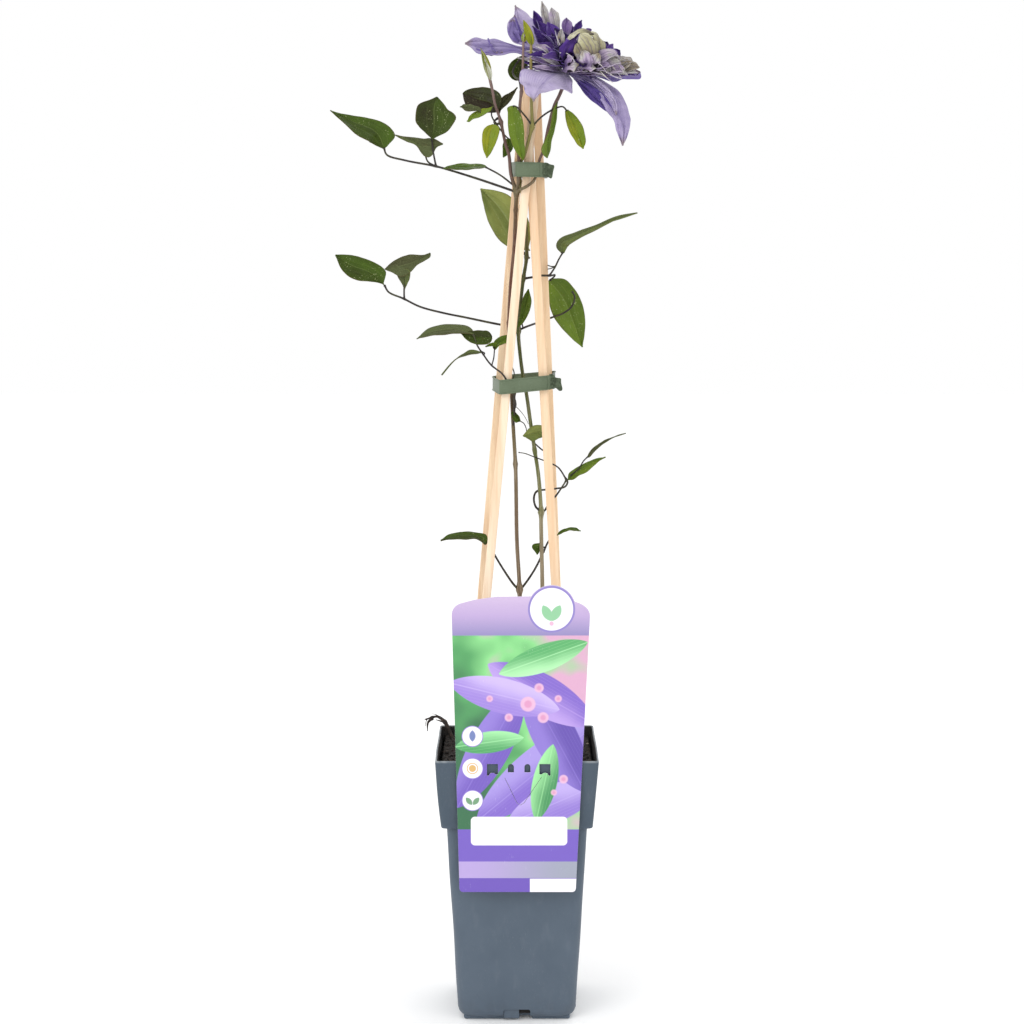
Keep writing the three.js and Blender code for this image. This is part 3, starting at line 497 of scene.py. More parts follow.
potLook = {
    "outside": [(40.6, 10, 2.6), (42.4, 10.9, 3.5), (43.6, 11.6, 5.2), (44.4, 12, 8.0), (52, 5, 150.2),
                (52.3, 5, 150.8), (54.8, 3.6, 151.0), (55.6, 3.3, 151.3), (56.0, 3, 152.2), (60, 3, 201.4),
                (59.95, 3, 202.4), (59.6, 2.8, 203.0)],
    "inside": [(59.0, 2.3, 203.0), (58.6, 1.6, 202.4), (58.4, 1.5, 201.4), (54.4, 1.5, 153.0),
               (50.4, 3.4, 152.4), (42.6, 10.4, 5.6), (42.0, 10, 5.0)],
    "cornerSteps": 7, "sideSteps": 10, "rowHeight": 9, "sharpAngle": 35,
    "wobble": {"out": 0.35, "length": 45, "foot": 3, "fadeIn": 40},
    "bulge": {"out": 1.4, "side": -50, "low": 155, "foot": 151, "tall": 60, "middle": -20, "wide": 40},
    "foot": [  # what is cut into or joined to each side: size, middle, bevel
        ("DIFFERENCE", (20, 12, 9), (0, -44, 4.5), 1.2),
        ("UNION", (42.3, 29.3, 4), (-18.85, -25.35, 2), 1.6),
        ("UNION", (11.4, 3, 7.0), (-4.1, -42, 5.4), 0.3),
    ],
    "boss": (9, 4.6, 0.5),  # radius, height, draft
}


def squareSpot(k, half, corner):  # point k round a square with rounded corners
    perSide = potLook["cornerSteps"] + potLook["sideSteps"]
    quarter, step = divmod(k, perSide)
    flat = half - corner
    if step < potLook["cornerSteps"]:
        angle = math.pi / 2 * step / potLook["cornerSteps"]
        x, y = flat + corner * math.cos(angle), flat + corner * math.sin(angle)
    else:
        share = (step - potLook["cornerSteps"]) / potLook["sideSteps"]
        x, y = flat - 2 * flat * share, half
    turn = quarter * math.pi / 2
    return x * math.cos(turn) - y * math.sin(turn), x * math.sin(turn) + y * math.cos(turn)


def potRows():
    rings = potLook["outside"] + potLook["inside"]
    rows = []
    for a, b in zip(rings, rings[1:]):
        steps = max(1, round(abs(b[2] - a[2]) / potLook["rowHeight"]))
        rows += [[p + (q - p) * k / steps for p, q in zip(a, b)] for k in range(steps)]
    return rows + [list(rings[-1])]


def settleRing(verts, half, corner, z):
    wobble, bulge = potLook["wobble"], potLook["bulge"]
    for k, vert in enumerate(verts):
        x, y = squareSpot(k, half, corner)
        bow = wobble["out"] * noise.noise(Vector((x, y, z)) / wobble["length"])
        bow *= min(1, (z - wobble["foot"]) / wobble["fadeIn"])
        if x < bulge["side"] and z > bulge["low"]:
            aside, up = (y - bulge["middle"]) / bulge["wide"], (z - bulge["foot"]) / bulge["tall"]
            bow += bulge["out"] * math.sin(math.pi * up) * math.exp(-aside ** 2)
        push = 1 + bow / half
        vert.co = Vector((x * push, y * push, z)) * mm


def potShade():
    s = Shade("potPlastic", {"Specular IOR Level": 0.22})
    z = s.inMm(2)
    mottle = s.cloud(26, detail=3)
    dust = s.cloud(7, (1, 1, 0.35), 5).fade(0.52, 0.75)
    scuffs = s.cloud(1.6, (6, 6, 0.5), 3).fade(0.63, 0.72) * s.cloud(34).fade(0.45, 0.62)
    # Painted highlight: the top of the rim is painted lighter in patches.
    rimHighlight = z.fade(201.2, 202.6) * (s.cloud(5).fade(0.3, 0.6) * 0.4 + 0.2)
    footDirt = (1 - z.fade(2, 26)) * s.cloud(9).fade(0.42, 0.66) * 0.2
    # Painted shade: from 146 mm up, the collar is painted darker than the body below it, though the plastic
    # is the same.
    colour = s.over(s.mix(mottle, "4d5966", "5a6673"), (z.fade(146, 156) * 0.5, "3c4954"),
                    (dust * 0.09, "848c96"), (scuffs * 0.2, "aab0b4"), (rimHighlight, "a3a9ac"),
                    (footDirt, "4a4c4f"))
    grain = s.cloud(0.9, detail=2) * 0.5 + s.cloud(12) * 0.5 - scuffs * 0.3
    return s.finish(colour, mottle * 0.14 + dust * 0.18 + 0.36, grain, 0.07, 0.5)


# Painted shade: the inside of the pot is painted near black, with brown soil splashes, though its plastic is
# the same as outside.
def insidePaintedShade():
    s = Shade("potInsidePaintedShade", {})
    splash = s.cloud(11, detail=5).fade(0.48, 0.7)
    colour = s.mix(splash, "0b0b0d", "1b1511")
    return s.finish(colour, splash * 0.3 + 0.5, s.cloud(2.5, detail=4), 0.15)


def makePot():
    rows = potRows()
    count = 4 * (potLook["cornerSteps"] + potLook["sideSteps"])
    bm = bmesh.new()
    ring = bmesh.ops.create_circle(bm, cap_ends=False, segments=count, radius=1.0)["verts"]
    settleRing(ring, *rows[0])
    bottom = bm.edges[:]
    edges = bm.edges[:]
    turnOver = max(range(len(rows)), key=lambda k: rows[k][2]) + 2  # the row where the inside starts
    for k, row in enumerate(rows[1:]):
        ring, made = nextRing(bm, edges, ring)
        # faces from the inside row on take the near-black painted-shade material
        for polygon in only(made, bmesh.types.BMFace):
            polygon.material_index = 1 if k >= turnOver else 0
        edges = openEdges(made)
        settleRing(ring, *row)
    bmesh.ops.holes_fill(bm, edges=edges + bottom, sides=0)
    bmesh.ops.recalc_face_normals(bm, faces=bm.faces)
    for polygon in bm.faces:
        polygon.smooth = True
    pot = show("pot_body", meshOf(bm, "pot_body"), [potShade(), insidePaintedShade()], "pot_plastic", "pot")
    for operation, size, middle, bevel in potLook["foot"]:
        carved(pot, [block("foot", size, middle, math.pi / 2 * k, bevel) for k in range(4)], operation)
    carved(pot, [drum("boss", *potLook["boss"])], "UNION")
    smoothed(pot, potLook["sharpAngle"])


makePot()
tell("pot done")

# Soil: crumbly peat, with bark bits and a little white grit

soilLook = {
    "half": 56.6, "top": 195.4, "rough": 3.4, "steps": 90, "seed": 5, "slump": 2.5,
    "rings": [(55.0, 2, 175), (54.0, 2, 153.2), (50.0, 4, 153.0), (46.0, 8, 80), (41.6, 11, 5.4)],
    "crumbs": 420,
    "crumb": {"area": (-55, 55), "radius": (0.7, 2.3), "grit": 0.95, "tones": (0.1, 0.75), "rise": 0.15,
              "turn": (0, 6.3), "tip": (-0.5, 0.5), "squash": [(0.6, 1.6), (0.6, 1.2), (0.4, 0.8)],
              "jitter": 0.2},
}


def soilShade():
    s = Shade("peat", {})
    damp = s.cloud(14, detail=4)
    colour = s.ramp(s.own("tone") * 0.75 + s.cloud(1.8, detail=5) * 0.25,
                    [(0.1, "0a0705"), (0.35, "160f0b"), (0.6, "281c15"), (0.8, "4d3c2e"), (0.97, "cfc8ba")])
    colour = s.mix(damp.fade(0.45, 0.7) * 0.4, colour, "0a0604")
    return s.finish(colour, damp * 0.15 + 0.78, s.cloud(0.8, detail=5), 0.5, 0.9)


def soilHeight(x, y):
    spot = Vector((x, y, 0))
    lumps = noise.noise(spot / 13) + 0.6 * noise.noise(spot / 5 + Vector((9, 3, 1)))
    return soilLook["top"] + soilLook["rough"] * 0.5 * lumps + 0.8 * noise.noise(spot / 1.9)


def addCrumb(bm, dice, tones):
    look = soilLook["crumb"]
    x, y = dice.uniform(*look["area"]), dice.uniform(*look["area"])
    radius = dice.uniform(*look["radius"])
    white = dice.random() > look["grit"]
    tone = 0.98 if white else dice.uniform(*look["tones"])
    squash = Matrix.Diagonal((*[dice.uniform(*span) for span in look["squash"]], 1))
    turn = Matrix.Rotation(dice.uniform(*look["turn"]), 4, "Z")
    tip = Matrix.Rotation(dice.uniform(*look["tip"]), 4, "X")
    spot = Matrix.Translation((x, y, soilHeight(x, y) + radius * look["rise"]))
    place = spot @ (turn @ tip) @ squash
    for vert in bmesh.ops.create_icosphere(bm, subdivisions=1, radius=radius, matrix=place)["verts"]:
        vert.co += Vector([dice.uniform(-look["jitter"], look["jitter"]) * radius for _ in range(3)])
        vert[tones] = tone


def makeSoil():
    dice = random.Random(soilLook["seed"])
    half = soilLook["half"]
    bm = bmesh.new()
    tones = bm.verts.layers.float.new("tone")
    bmesh.ops.create_grid(bm, x_segments=soilLook["steps"], y_segments=soilLook["steps"], size=1.0)
    for vert in bm.verts:
        x, y = vert.co.x * half, vert.co.y * half
        slump = soilLook["slump"] if max(abs(x), abs(y)) > half - 0.5 else 0
        vert.co = (x, y, soilHeight(x, y) - slump)
        vert[tones] = 0.35 + 0.5 * noise.noise(Vector((x, y, 4)) / 3)
    edges = openEdges(bm.edges)
    for wide, corner, z in soilLook["rings"]:
        made = bmesh.ops.extrude_edge_only(bm, edges=edges)["geom"]
        for vert in only(made, bmesh.types.BMVert):
            spot = Vector((vert.co.x, vert.co.y)) * wide / half
            middle = Vector([math.copysign(min(abs(part), wide - corner), part) for part in spot])
            if abs(spot.x) > wide - corner and abs(spot.y) > wide - corner:
                spot = middle + (spot - middle).normalized() * corner
            vert.co = (spot.x, spot.y, z)
            vert[tones] = 0.2
        half = wide
        edges = openEdges(made)
    bmesh.ops.contextual_create(bm, geom=edges)
    for _ in range(soilLook["crumbs"]):
        addCrumb(bm, dice, tones)
    inMetres(bm)
    bmesh.ops.recalc_face_normals(bm, faces=bm.faces)
    show("soil_top", meshOf(bm, "soil_top"), [soilShade()], "peat", "soil")


makeSoil()
tell("soil done")

# Dry root over the back rim

rootLook = {
    "strands": [
        ([(-46, 42, 186), (-51.5, 47, 199), (-56, 51, 207.5), (-62, 55, 211), (-67, 57, 209.5),
          (-72, 58, 208)], (1.8, 1.6, 1.2, 0.5)),
        ([(-66, 57, 209), (-69.5, 60, 205), (-70, 61, 198)], (1.0, 0.9, 0.3)),
        ([(-54, 49, 204), (-57, 54, 206.5), (-63, 57, 208)], (1.0, 0.3)),
        ([(-60, 54, 210.5), (-63, 53, 213), (-66, 54, 213.4)], (0.5, 0.2)),
        ([(-70, 57.6, 208.6), (-71, 60, 206), (-71.5, 60, 202)], (0.5, 0.15)),
    ],
    "knots": [((-56, 51, 207.5), 1.9), ((-66, 57, 209.3), 1.6)],
    "dark": "130e0b", "light": "3f2f25", "spacing": 1.2, "ribs": 0.22, "rough": 0.3,
}


def barkShade():
    dark = rootLook["dark"]
    s = Shade("dryBark", {})
    fibre = s.cloud(1.4, (1, 1, 0.12), 4)
    colour = s.mix(fibre.fade(0.35, 0.7), dark, rootLook["light"])
    colour = s.mix(s.cloud(8).fade(0.5, 0.75) * 0.5, colour, dark)
    return s.finish(colour, fibre * 0.2 + 0.68, fibre, 0.3, 0.9)


rootSettings = [rootLook[key] for key in ("strands", "spacing", "ribs", "knots", "rough")]
root = stalkMesh("dry_root_fine", *rootSettings)
show("dry_root_fine", root, [barkShade()], "dry_bark", "dry_root")

# Canes: sawn pale wood, eased edges, straight but for a little saw wobble

caneLook = {
    "side": 6.4, "bevel": 0.75, "foot": 130, "soil": 195, "top": 700, "wobble": 0.12, "sharpAngle": 40,
    "canes": {  # place at the soil, place at the top, dark and light wood
        "cane_back_left": ((-36.6, 30), (6.4, 4.2), "dfbc98", "efd5b4"),
        "cane_front_left": ((-34.5, -30), (14, -12.5), "e6c8a8", "f4e0c6"),
        "cane_front_right": ((36.6, -30), (5.7, -4), "e6c39e", "f0d5b5"),
        "cane_back_right": ((35.5, 30), (13.8, 4.5), "e6c49e", "f0d5b2"),
    },
}


def woodShade(name, dark, light):
    s = Shade(name, {"Specular IOR Level": 0.3})
    fine = s.cloud(0.55, (1, 1, 0.018), 4, 0.65)
    broad = s.cloud(3.2, (1, 1, 0.02), 3)
    knots = s.cells(38, "F1", (1, 1, 0.35)).fade(0.10, 0.03)
    wash = s.cloud(60, (1, 1, 0.3)).fade(0.55, 0.8)
    inSoil = 1 - s.inMm(2).fade(196, 206)
    colour = s.over(s.mix(broad.fade(0.3, 0.7), dark, light), (fine.fade(0.52, 0.8) * 0.22, "c08e6a"),
                    (knots * 0.7, "a8713f"), (wash * 0.2, "d3a987"), (inSoil * 0.7, "5d4632"))
    return s.finish(colour, fine * 0.2 + 0.52, fine * 0.6 + broad * 0.4, 0.12, 0.7)


def makeCane(name, low, top, dark, light):
    side, foot, soil, tip = [caneLook[key] for key in ("side", "foot", "soil", "top")]
    bm = bmesh.new()
    bmesh.ops.create_cube(bm, size=1.0)
    bmesh.ops.scale(bm, vec=(side, side, tip - foot), verts=bm.verts)
    bmesh.ops.bevel(bm, geom=bm.edges, offset=caneLook["bevel"], segments=3, profile=0.5, affect="EDGES",
                    material=-1)
    bmesh.ops.translate(bm, vec=(0, 0, (tip + foot) / 2), verts=bm.verts)
    sliced(bm, range(foot + 8, tip - 4, 12), Vector((0, 0, 1)))
    for vert in bm.verts:
        t = (vert.co.z - soil) / (tip - soil)
        wobble = noise.noise_vector(Vector((low[0], low[1], vert.co.z / 55))) * caneLook["wobble"]
        shift = Vector((low[0] + (top[0] - low[0]) * t, low[1] + (top[1] - low[1]) * t, 0))
        swell = 1 + 0.02 * noise.noise(vert.co / 9 + shift)
        vert.co = Vector((vert.co.x * swell, vert.co.y * swell, vert.co.z)) + shift + wobble
    mesh = meshOf(inMetres(bm), name + "_wood")
    piece = show(name + "_wood", mesh, [woodShade(name + "Wood", dark, light)], "cane_wood", name)
    smoothed(piece, caneLook["sharpAngle"])


for name, cane in caneLook["canes"].items():
    makeCane(name, *cane)
tell("canes done")

# Stems: ribbed stalks with swollen knots. Stops are colours by height, from the soil to the top.

stems = {
    "stem_brown": {
        "slot": "brown_stem", "shade": "brownStem", "scales": "3f3029",
        "stalks": [
            ([(2, 0, 150), (2, 0, 250), (2, 0, 320), (0, 0, 357), (-1, 0, 411), (-3, 0, 447), (-4, 0, 468),
              (-6, 0, 508), (-5, 0, 543), (-2, -1, 576), (-1, -8, 603), (-0.4, -14, 616)],
             (1.7, 1.5, 1.35, 1.4)),
            ([(-0.4, -14, 616), (-4.3, -17, 628), (-6, -18, 643), (-8.5, -18, 651), (-12, -18, 667),
              (-16, -18, 679), (-17.5, -18, 687), (-20, -18, 698)], (1.4, 1.2, 1.0, 1.1)),
            ([(-0.4, -14, 616), (0.7, -18.8, 622), (1.2, -20.5, 632), (1.1, -21, 646), (2, -19.5, 679),
              (3, -20.8, 687), (4, -24.5, 703), (4.5, -26, 723)], (1.3, 1.1, 1.0, 0.9)),
            ([(-0.4, -14, 616), (1.6, -20, 617.5), (6, -21.3, 619.5), (12, -21, 624), (15, -18.5, 632),
              (16.3, -18.5, 639), (19, -18, 646), (23, -16, 664), (27, -15, 678), (30, -14, 684),
              (33, -12.5, 691), (36, -11, 698)], (1.1, 1.0, 1.2, 1.4)),
        ],
        "knots": [((2, 0, 321), 3.0), ((-0.4, -14, 616), 2.6), ((-1.4, 0, 415), 2.0), ((-12, -18, 666), 1.9),
                  ((3, -20.6, 687), 1.6), ((-5.5, 0, 520), 1.9), ((-1, -8, 603), 1.8)],
        "stops": [(0.0, "80705c"), (0.35, "75634f"), (0.44, "6c5f40"), (0.49, "463a27"), (0.62, "623c2f"),
                  (0.74, "5e4034"), (0.79, "6a6144"), (0.84, "664d47"), (1.0, "846f6a")],
    },
    "stem_green": {
        "slot": "green_stem", "shade": "greenStem", "scales": "4f4a2c",
        "stalks": [
            ([(21, -3, 150), (21, -4, 195), (19, -5, 326), (18, -5, 371), (18, -5, 380), (16, -5, 407),
              (13, -5, 427), (10, -5, 447), (7, -5, 468), (4, -5, 484), (2, -4, 500), (1, -3, 515),
              (4.4, -4, 551), (7, -3.5, 569), (6, -3, 599), (3.5, -6, 616), (2, -12, 627),
              (2.3, -17.6, 636.5), (5, -21, 641.5), (7.5, -20.8, 650), (11, -20, 663)],
             (1.7, 1.6, 1.4, 1.3, 1.2)),
            ([(11, -20, 663), (10.3, -20.6, 682), (10, -24.5, 703), (10, -26, 723)], (1.2, 1.0)),
        ],
        "knots": [((18, -5, 380), 2.6), ((1, -3, 515), 2.3), ((11, -20, 663), 2.4), ((13.3, -5, 426), 1.9),
                  ((5, -4, 553), 1.9), ((7, -3.5, 569), 1.9), ((19.6, -5, 290), 2.1)],
        "stops": [(0.0, "8c8069"), (0.3, "857a63"), (0.36, "70744b"), (0.47, "566131"), (0.55, "444e23"),
                  (0.7, "454a28"), (0.88, "868047"), (1.0, "94854f")],
    },
}
stemLook = {"spacing": 2.4, "ribs": 0.14, "foot": 196, "tall": 530}


def stemShade(name, stops, scaleTint):
    s = Shade(name, {"Specular IOR Level": 0.25})
    height = (s.inMm(2) - stemLook["foot"]) / stemLook["tall"]
    ridges = s.cloud(0.7, (1, 1, 0.03), 3)
    patches = s.cloud(9, (1, 1, 0.25), 3)
    # Painted highlight: pale streaks, strongest low on the stem, stand in for light along its lit side.
    light = s.cloud(1.1, (1, 1, 0.025), 2).fade(0.5, 0.62) * (0.5 - height * 0.5)
    colour = s.over(s.ramp(height + (patches - 0.5) * 0.12, stops),
                    (ridges.fade(0.48, 0.75) * 0.45, scaleTint), (light.most(0.0), "c2b59d"))
    return s.finish(colour, patches * 0.2 + 0.45, ridges, 0.25, 0.8)


for name, stem in stems.items():
    strands = stalkMesh(name + "_fine", stem["stalks"], stemLook["spacing"], stemLook["ribs"], stem["knots"])
    shade = stemShade(stem["shade"], stem["stops"], stem["scales"])
    show(name + "_fine", strands, [shade], stem["slot"], name)
tell("stems done")

# Sprays: the leaves of one leaf stalk, its stalks and their curls, each with its radii from end to end.
# The tone of a blade runs from 0, dark brown green, to 1, yellow green.

sprays = {
    "spray_top_left": {"stalks": [
        ([(-0.4, -14, 616), (-27, -14, 625), (-53, -12, 633), (-61, -12, 635), (-82, -10, 639),
          (-95, -9, 643), (-97, -9, 648)], (0.9, 0.8, 0.7)),
        ([(-60, -12, 634.8), (-65, -10.5, 638), (-67, -10, 643)], (0.7, 0.6)),
        ([(-59, -12, 634.5), (-61, -12.5, 645), (-62, -12, 654)], (0.7, 0.6)),
    ], "leaves": [
        shaped([(-97, -9, 648), (-102.4, -11, 659.1), (-119.2, -14.7, 667.1), (-135, -20, 674.2)],
               [0.6, 2.4, 7.3, 11.9, 13.4, 8.9, 4.6, 1.2, 0], [1.2, 4.5, 10.9, 9.8, 6.8, 4, 1.4, 0.4, 0],
               0.24, (0.15, -0.8, 0.6), fold=8, cup=0.05),
        shaped([(-89, -13, 657.2), (-77.9, -12, 653.8), (-65.6, -10.5, 648.5), (-53.9, -11, 650.6)],
               [0, 0.1, 0.3, 1.6, 4.6, 6.6, 5.4, 1.4, 0], [0.1, 0.5, 1.5, 2.4, 2.3, 8.2, 1.6, 0.5, 0], 0.36,
               (0, -1, 0.3), fold=5, cup=0.05, under=True),
        shaped([(-62, -12, 654), (-60.3, -13.3, 662.9), (-60.1, -14.7, 675.9), (-58.1, -16, 684.2)],
               [0, 0.2, 5.5, 11.1, 13.8, 12.1, 4.9, 1.3, 0], [0, 1.1, 4.5, 11.4, 16.2, 11.4, 7.4, 2.3, 0],
               0.14),
    ]},
    "spray_top_left_side": {"stalks": [
        ([(-1, -15, 619.5), (-12, -16, 628), (-23, -16, 634)], (0.7, 0.6)),
    ], "leaves": [
        shaped([(-23, -16, 634), (-32.4, -17.3, 634.3), (-43.4, -18.7, 634), (-53.7, -20, 632.7)],
               [0, 1, 3.5, 5.3, 5.9, 4.8, 2.9, 1.7, 0], [1.2, 2.9, 4.4, 4.7, 5.1, 4, 2.5, 0.7, 0], 0.34,
               (0, -0.42, 0.9), fold=2, cup=0.0),
    ]},
    "spray_under_bud": {"stalks": [
        ([(-11.7, -18, 665), (-15.5, -19, 665), (-16.5, -15.5, 667), (-14, -14, 669)], (0.8, 0.7)),
        ([(-15.5, -19, 665), (-18.5, -21, 671), (-17.5, -20.8, 677)], (0.6, 0.5)),
        ([(-15.5, -18, 665.5), (-16.5, -20.5, 664), (-15, -21, 662)], (0.6, 0.5)),
        ([(-16, -17, 666), (-13, -13.6, 662), (-9, -13, 657), (-6, -14, 654)], (0.6, 0.5)),
    ], "leaves": [
        shaped([(-14.2, -14, 674.2), (-18.6, -10, 679.9), (-30.8, -5.3, 684.2), (-39.6, 0, 687.4)],
               [1.2, 4.5, 11.7, 11.4, 10.8, 9.6, 5.2, 1.5, 0], [0.5, 1.2, 4.9, 9, 9.3, 7, 4.9, 2.5, 0], 0.02,
               (0, -0.95, 0.3)),
        shaped([(-14, -14, 669), (-10.1, -10.7, 680.2), (-4.8, -8.7, 685.9), (0.3, -8, 691.4)],
               [0, 0, 2.2, 2.8, 2.9, 1.7, 0.7, 0.2, 0], [0, 0, 0, 3, 3.2, 2.1, 1.1, 0.3, 0], 0.08,
               (0.1, -1, 0.2), fold=10, cup=0.05, under=True),
        shaped([(-17.5, -20.8, 677), (-25.1, -21.6, 673.1), (-32.3, -22.3, 670), (-36.2, -23, 666.3)],
               [0, 0, 3.7, 4.2, 5, 3.6, 2.2, 2, 0], [0, 0, 1, 3.1, 3, 2.2, 0.9, 0.3, 0], 0.66,
               (0, -0.6, 0.75), fold=5, cup=0.05),
        shaped([(-26, -22, 672.5), (-31.1, -22.7, 675.5), (-36.5, -22.7, 676.4), (-41.2, -22, 676.8)],
               [0, 0, 0, 2.6, 4.2, 3.7, 1.7, 0.4, 0], [0, 0, 3.3, 2.8, 3.1, 2.7, 2.4, 0.6, 0], 0.3,
               (0, -0.7, 0.7), fold=5, cup=0.05, under=True),
        shaped([(-17.4, -21.5, 663.9), (-19, -22, 658.3), (-20.8, -22.3, 648.8), (-22, -22, 640.3)],
               [1.2, 4.5, 5.8, 6.1, 5.6, 4.1, 2.4, 0.7, 0], [0.4, 1.4, 4, 5.7, 5.6, 4.2, 2.4, 0.6, 0], 0.78),
        plain([(-6, -14, 654), (-7, -13, 647.5), (-10, -12.5, 641)], 4, 0.4, (0, -1, 0)),
    ]},
    "spray_front": {"stalks": [
        ([(11, -20, 663), (6, -23.4, 670), (-1, -24.5, 677), (-3, -24.5, 677)], (0.7, 0.6)),
    ], "leaves": [
        shaped([(-3, -24.5, 677), (-1.2, -25.5, 665.8), (0.8, -26.3, 651.4), (4.4, -27, 638.7)],
               [0, 1.9, 3.8, 5.2, 5.5, 4.3, 3.3, 1.2, 0], [1.2, 4.5, 4.8, 5.8, 6.1, 4.8, 3.2, 1.1, 0], 0.56,
               (0.1, -1, 0.1), fold=14, cup=0.12),
    ]},
    "spray_top_right": {"stalks": [
        ([(11, -20, 663), (18, -22, 670), (26, -21.5, 675), (33, -20, 677), (36, -19, 674)], (0.7, 0.6)),
        ([(26, -21.5, 675), (28, -21, 678), (29, -20.5, 680)], (0.6, 0.5)),
    ], "leaves": [
        shaped([(29, -20.5, 680), (26.4, -22.2, 666.7), (22.4, -23.7, 652.8), (21.7, -25, 640.2)],
               [0.1, 0.4, 1.1, 1.8, 2.6, 2.9, 2.2, 0.7, 0], [0.4, 1.2, 3.3, 3.3, 1.7, 3.9, 7.7, 4.5, 0], 0.5,
               (0.6, -0.8, 0), fold=14, cup=0.05),
        shaped([(36, -19, 674), (40.2, -19.7, 666.2), (44.7, -20, 656), (47.8, -20, 646.9)],
               [1.2, 1.6, 3.1, 4.5, 5.5, 4.8, 3.6, 1.2, 0], [1.2, 1.7, 3.1, 4.5, 5.1, 4.2, 3, 0.9, 0], 0.74,
               (-0.2, -1, 0.1), fold=16, cup=0.12),
    ]},
    "spray_behind_flower": {"stalks": [
        ([(3, -20.6, 687), (1.5, -14, 696), (-1.5, -4, 699), (-3, 6, 704), (1.5, 12, 712), (7, 14, 716)],
          (0.8, 0.7)),
    ], "leaves": [
        plain([(7, 14, 716), (2.4, 15.5, 708.4), (-2.6, 17, 698.4)], 7.4, 0.13, widest=0.66, point=0.5),
    ]},
    "spray_behind_canes": {"stalks": [
        ([(7, -3.5, 569), (9, 6, 568), (7, 15, 569), (4, 19, 573)], (0.9, 0.8)),
    ], "leaves": [
        shaped([(9.3, 19, 573.5), (-1.4, 21, 587.5), (-13.9, 21.3, 605.9), (-27, 20, 618.9)],
               [0, 2.6, 8.9, 13.2, 13.9, 11.2, 6.4, 1.7, 0], [0, 0.2, 6.7, 12.1, 13.7, 10.9, 5.9, 1.7, 0],
               0.68, (0.1, -1, 0), fold=6, cup=0.05, under=True),
    ]},
    "spray_middle_left": {"stalks": [
        ([(1, -3, 515), (-0.5, 8, 516), (-4, 17.5, 517), (-12, 19.5, 518), (-40, 14, 524), (-54, 10, 527),
          (-72, 6, 532), (-84, 4, 538), (-95, 2, 543), (-98, 2, 548)], (0.9, 0.8, 0.7)),
        ([(-83.5, 4, 537.6), (-83.5, 3.5, 545), (-83, 4, 551)], (0.7, 0.6)),
    ], "leaves": [
        shaped([(-98, 2, 548), (-107.7, -1.3, 557.1), (-122.2, -4.7, 563.1), (-133.2, -8, 570.2)],
               [0, 0, 3.1, 8.2, 11.1, 10.1, 6.1, 1.8, 0], [0, 0, 7.9, 8.4, 8.4, 7.2, 4.3, 1.4, 0], 0.24,
               (0.15, -0.85, 0.5), fold=8, cup=0.05),
        shaped([(-97.1, 3, 559.9), (-86.4, 2, 562.1), (-76.1, 4, 565), (-64.1, 6, 571.5)],
               [0.1, 1, 3.5, 5.5, 6.4, 5.8, 1.8, 0.4, 0], [0.1, 1.4, 3.7, 8.4, 7, 3.4, 3, 2.7, 0], 0.3,
               (0, -1, 0.3), fold=5, cup=0.05, under=True),
        shaped([(-83.2, 4, 545.8), (-83.3, 2.6, 552.5), (-84.5, 1.6, 560.6)],
               [0.5, 0.7, 1.2, 2.2, 3.8, 4.8, 4.6, 3, 0], [0.5, 0.7, 1.3, 2.4, 4, 5, 5, 3, 0], 0.4,
               (0, -1, 0.1), fold=12, cup=0.1, under=True),
    ]},
    "spray_middle_right": {"stalks": [
        ([(5, -4, 553), (12, -0.5, 554), (18, 2.5, 555), (25, 4.5, 555), (28, 10, 555.4), (27.4, 16, 553.6),
          (24.7, 19, 551.3)], (0.9, 0.6)),
        ([(24, 4, 555), (28, 5, 561), (31, 7, 567), (34, 8, 572)], (0.7, 0.6)),
    ], "curls": [
        ([(28.1, 7, 561.7), (25.6, 5.6, 561.6), (22.6, 4.4, 562.6)], (0.45, 0.4)),
        ([(28.1, 7, 561.7), (25.7, 5.8, 560.4), (22.6, 4.8, 559.7)], (0.45, 0.35)),
    ], "leaves": [
        shaped([(34, 8, 571.9), (32.9, 8.5, 578.1), (45.2, 10, 584.7), (63.7, 12, 592.8), (89.3, 14, 601)],
               [1.1, 1.7, 3.1, 4.3, 3.7, 2.1, 2.8, 1.3, 0], [0.9, 2, 5.6, 8.5, 4.7, 5.3, 0, 0, 0], 0.5,
               (-0.3, -0.6, 0.75), fold=6, cup=0.05, under=True),
        shaped([(24.1, 19, 550.6), (34.2, 24, 538.1), (42.8, 26.3, 518.6), (49.3, 27, 500.8)],
               [1.2, 4.5, 9.5, 10.8, 11.3, 8.6, 4.4, 1.1, 0], [0, 2.5, 8.1, 11.9, 13.2, 9.8, 5.5, 1.4, 0],
               0.5, (0.15, -1, 0.1), fold=10, cup=0.06),
    ]},
    "spray_middle": {"stalks": [
        ([(1, -3, 515), (6, 1, 517), (11, 9, 518.5), (15, 17, 519.5), (25, 19.4, 523), (35, 16, 527),
          (41, 15, 532), (43, 15, 539), (41, 15, 543)], (0.8, 0.8, 0.6)),
        ([(4.5, -0.5, 516.5), (4, -4, 518.5), (3.5, -5.5, 521)], (0.6, 0.5)),
    ], "leaves": [
        shaped([(0.7, -5.5, 517.5), (4.7, -6.2, 526), (7.1, -6.7, 536.1), (8.4, -7, 545.4)],
               [0.3, 0.5, 1.3, 2.7, 3.6, 3.6, 2.4, 0.7, 0], [0, 0.6, 1.8, 2.6, 3.5, 3.5, 1.8, 0.5, 0], 0.35,
               (0.1, -1, 0)),
    ]},
    "spray_at_clip": {"stalks": [
        ([(-3, 0, 444), (-2, -8, 452), (-1.8, -14, 459), (-2, -21, 465), (-2.8, -24.7, 471),
          (-6.5, -25, 477.5), (-10.5, -26, 484), (-19, -27, 491), (-25, -26, 499), (-29, -25, 505),
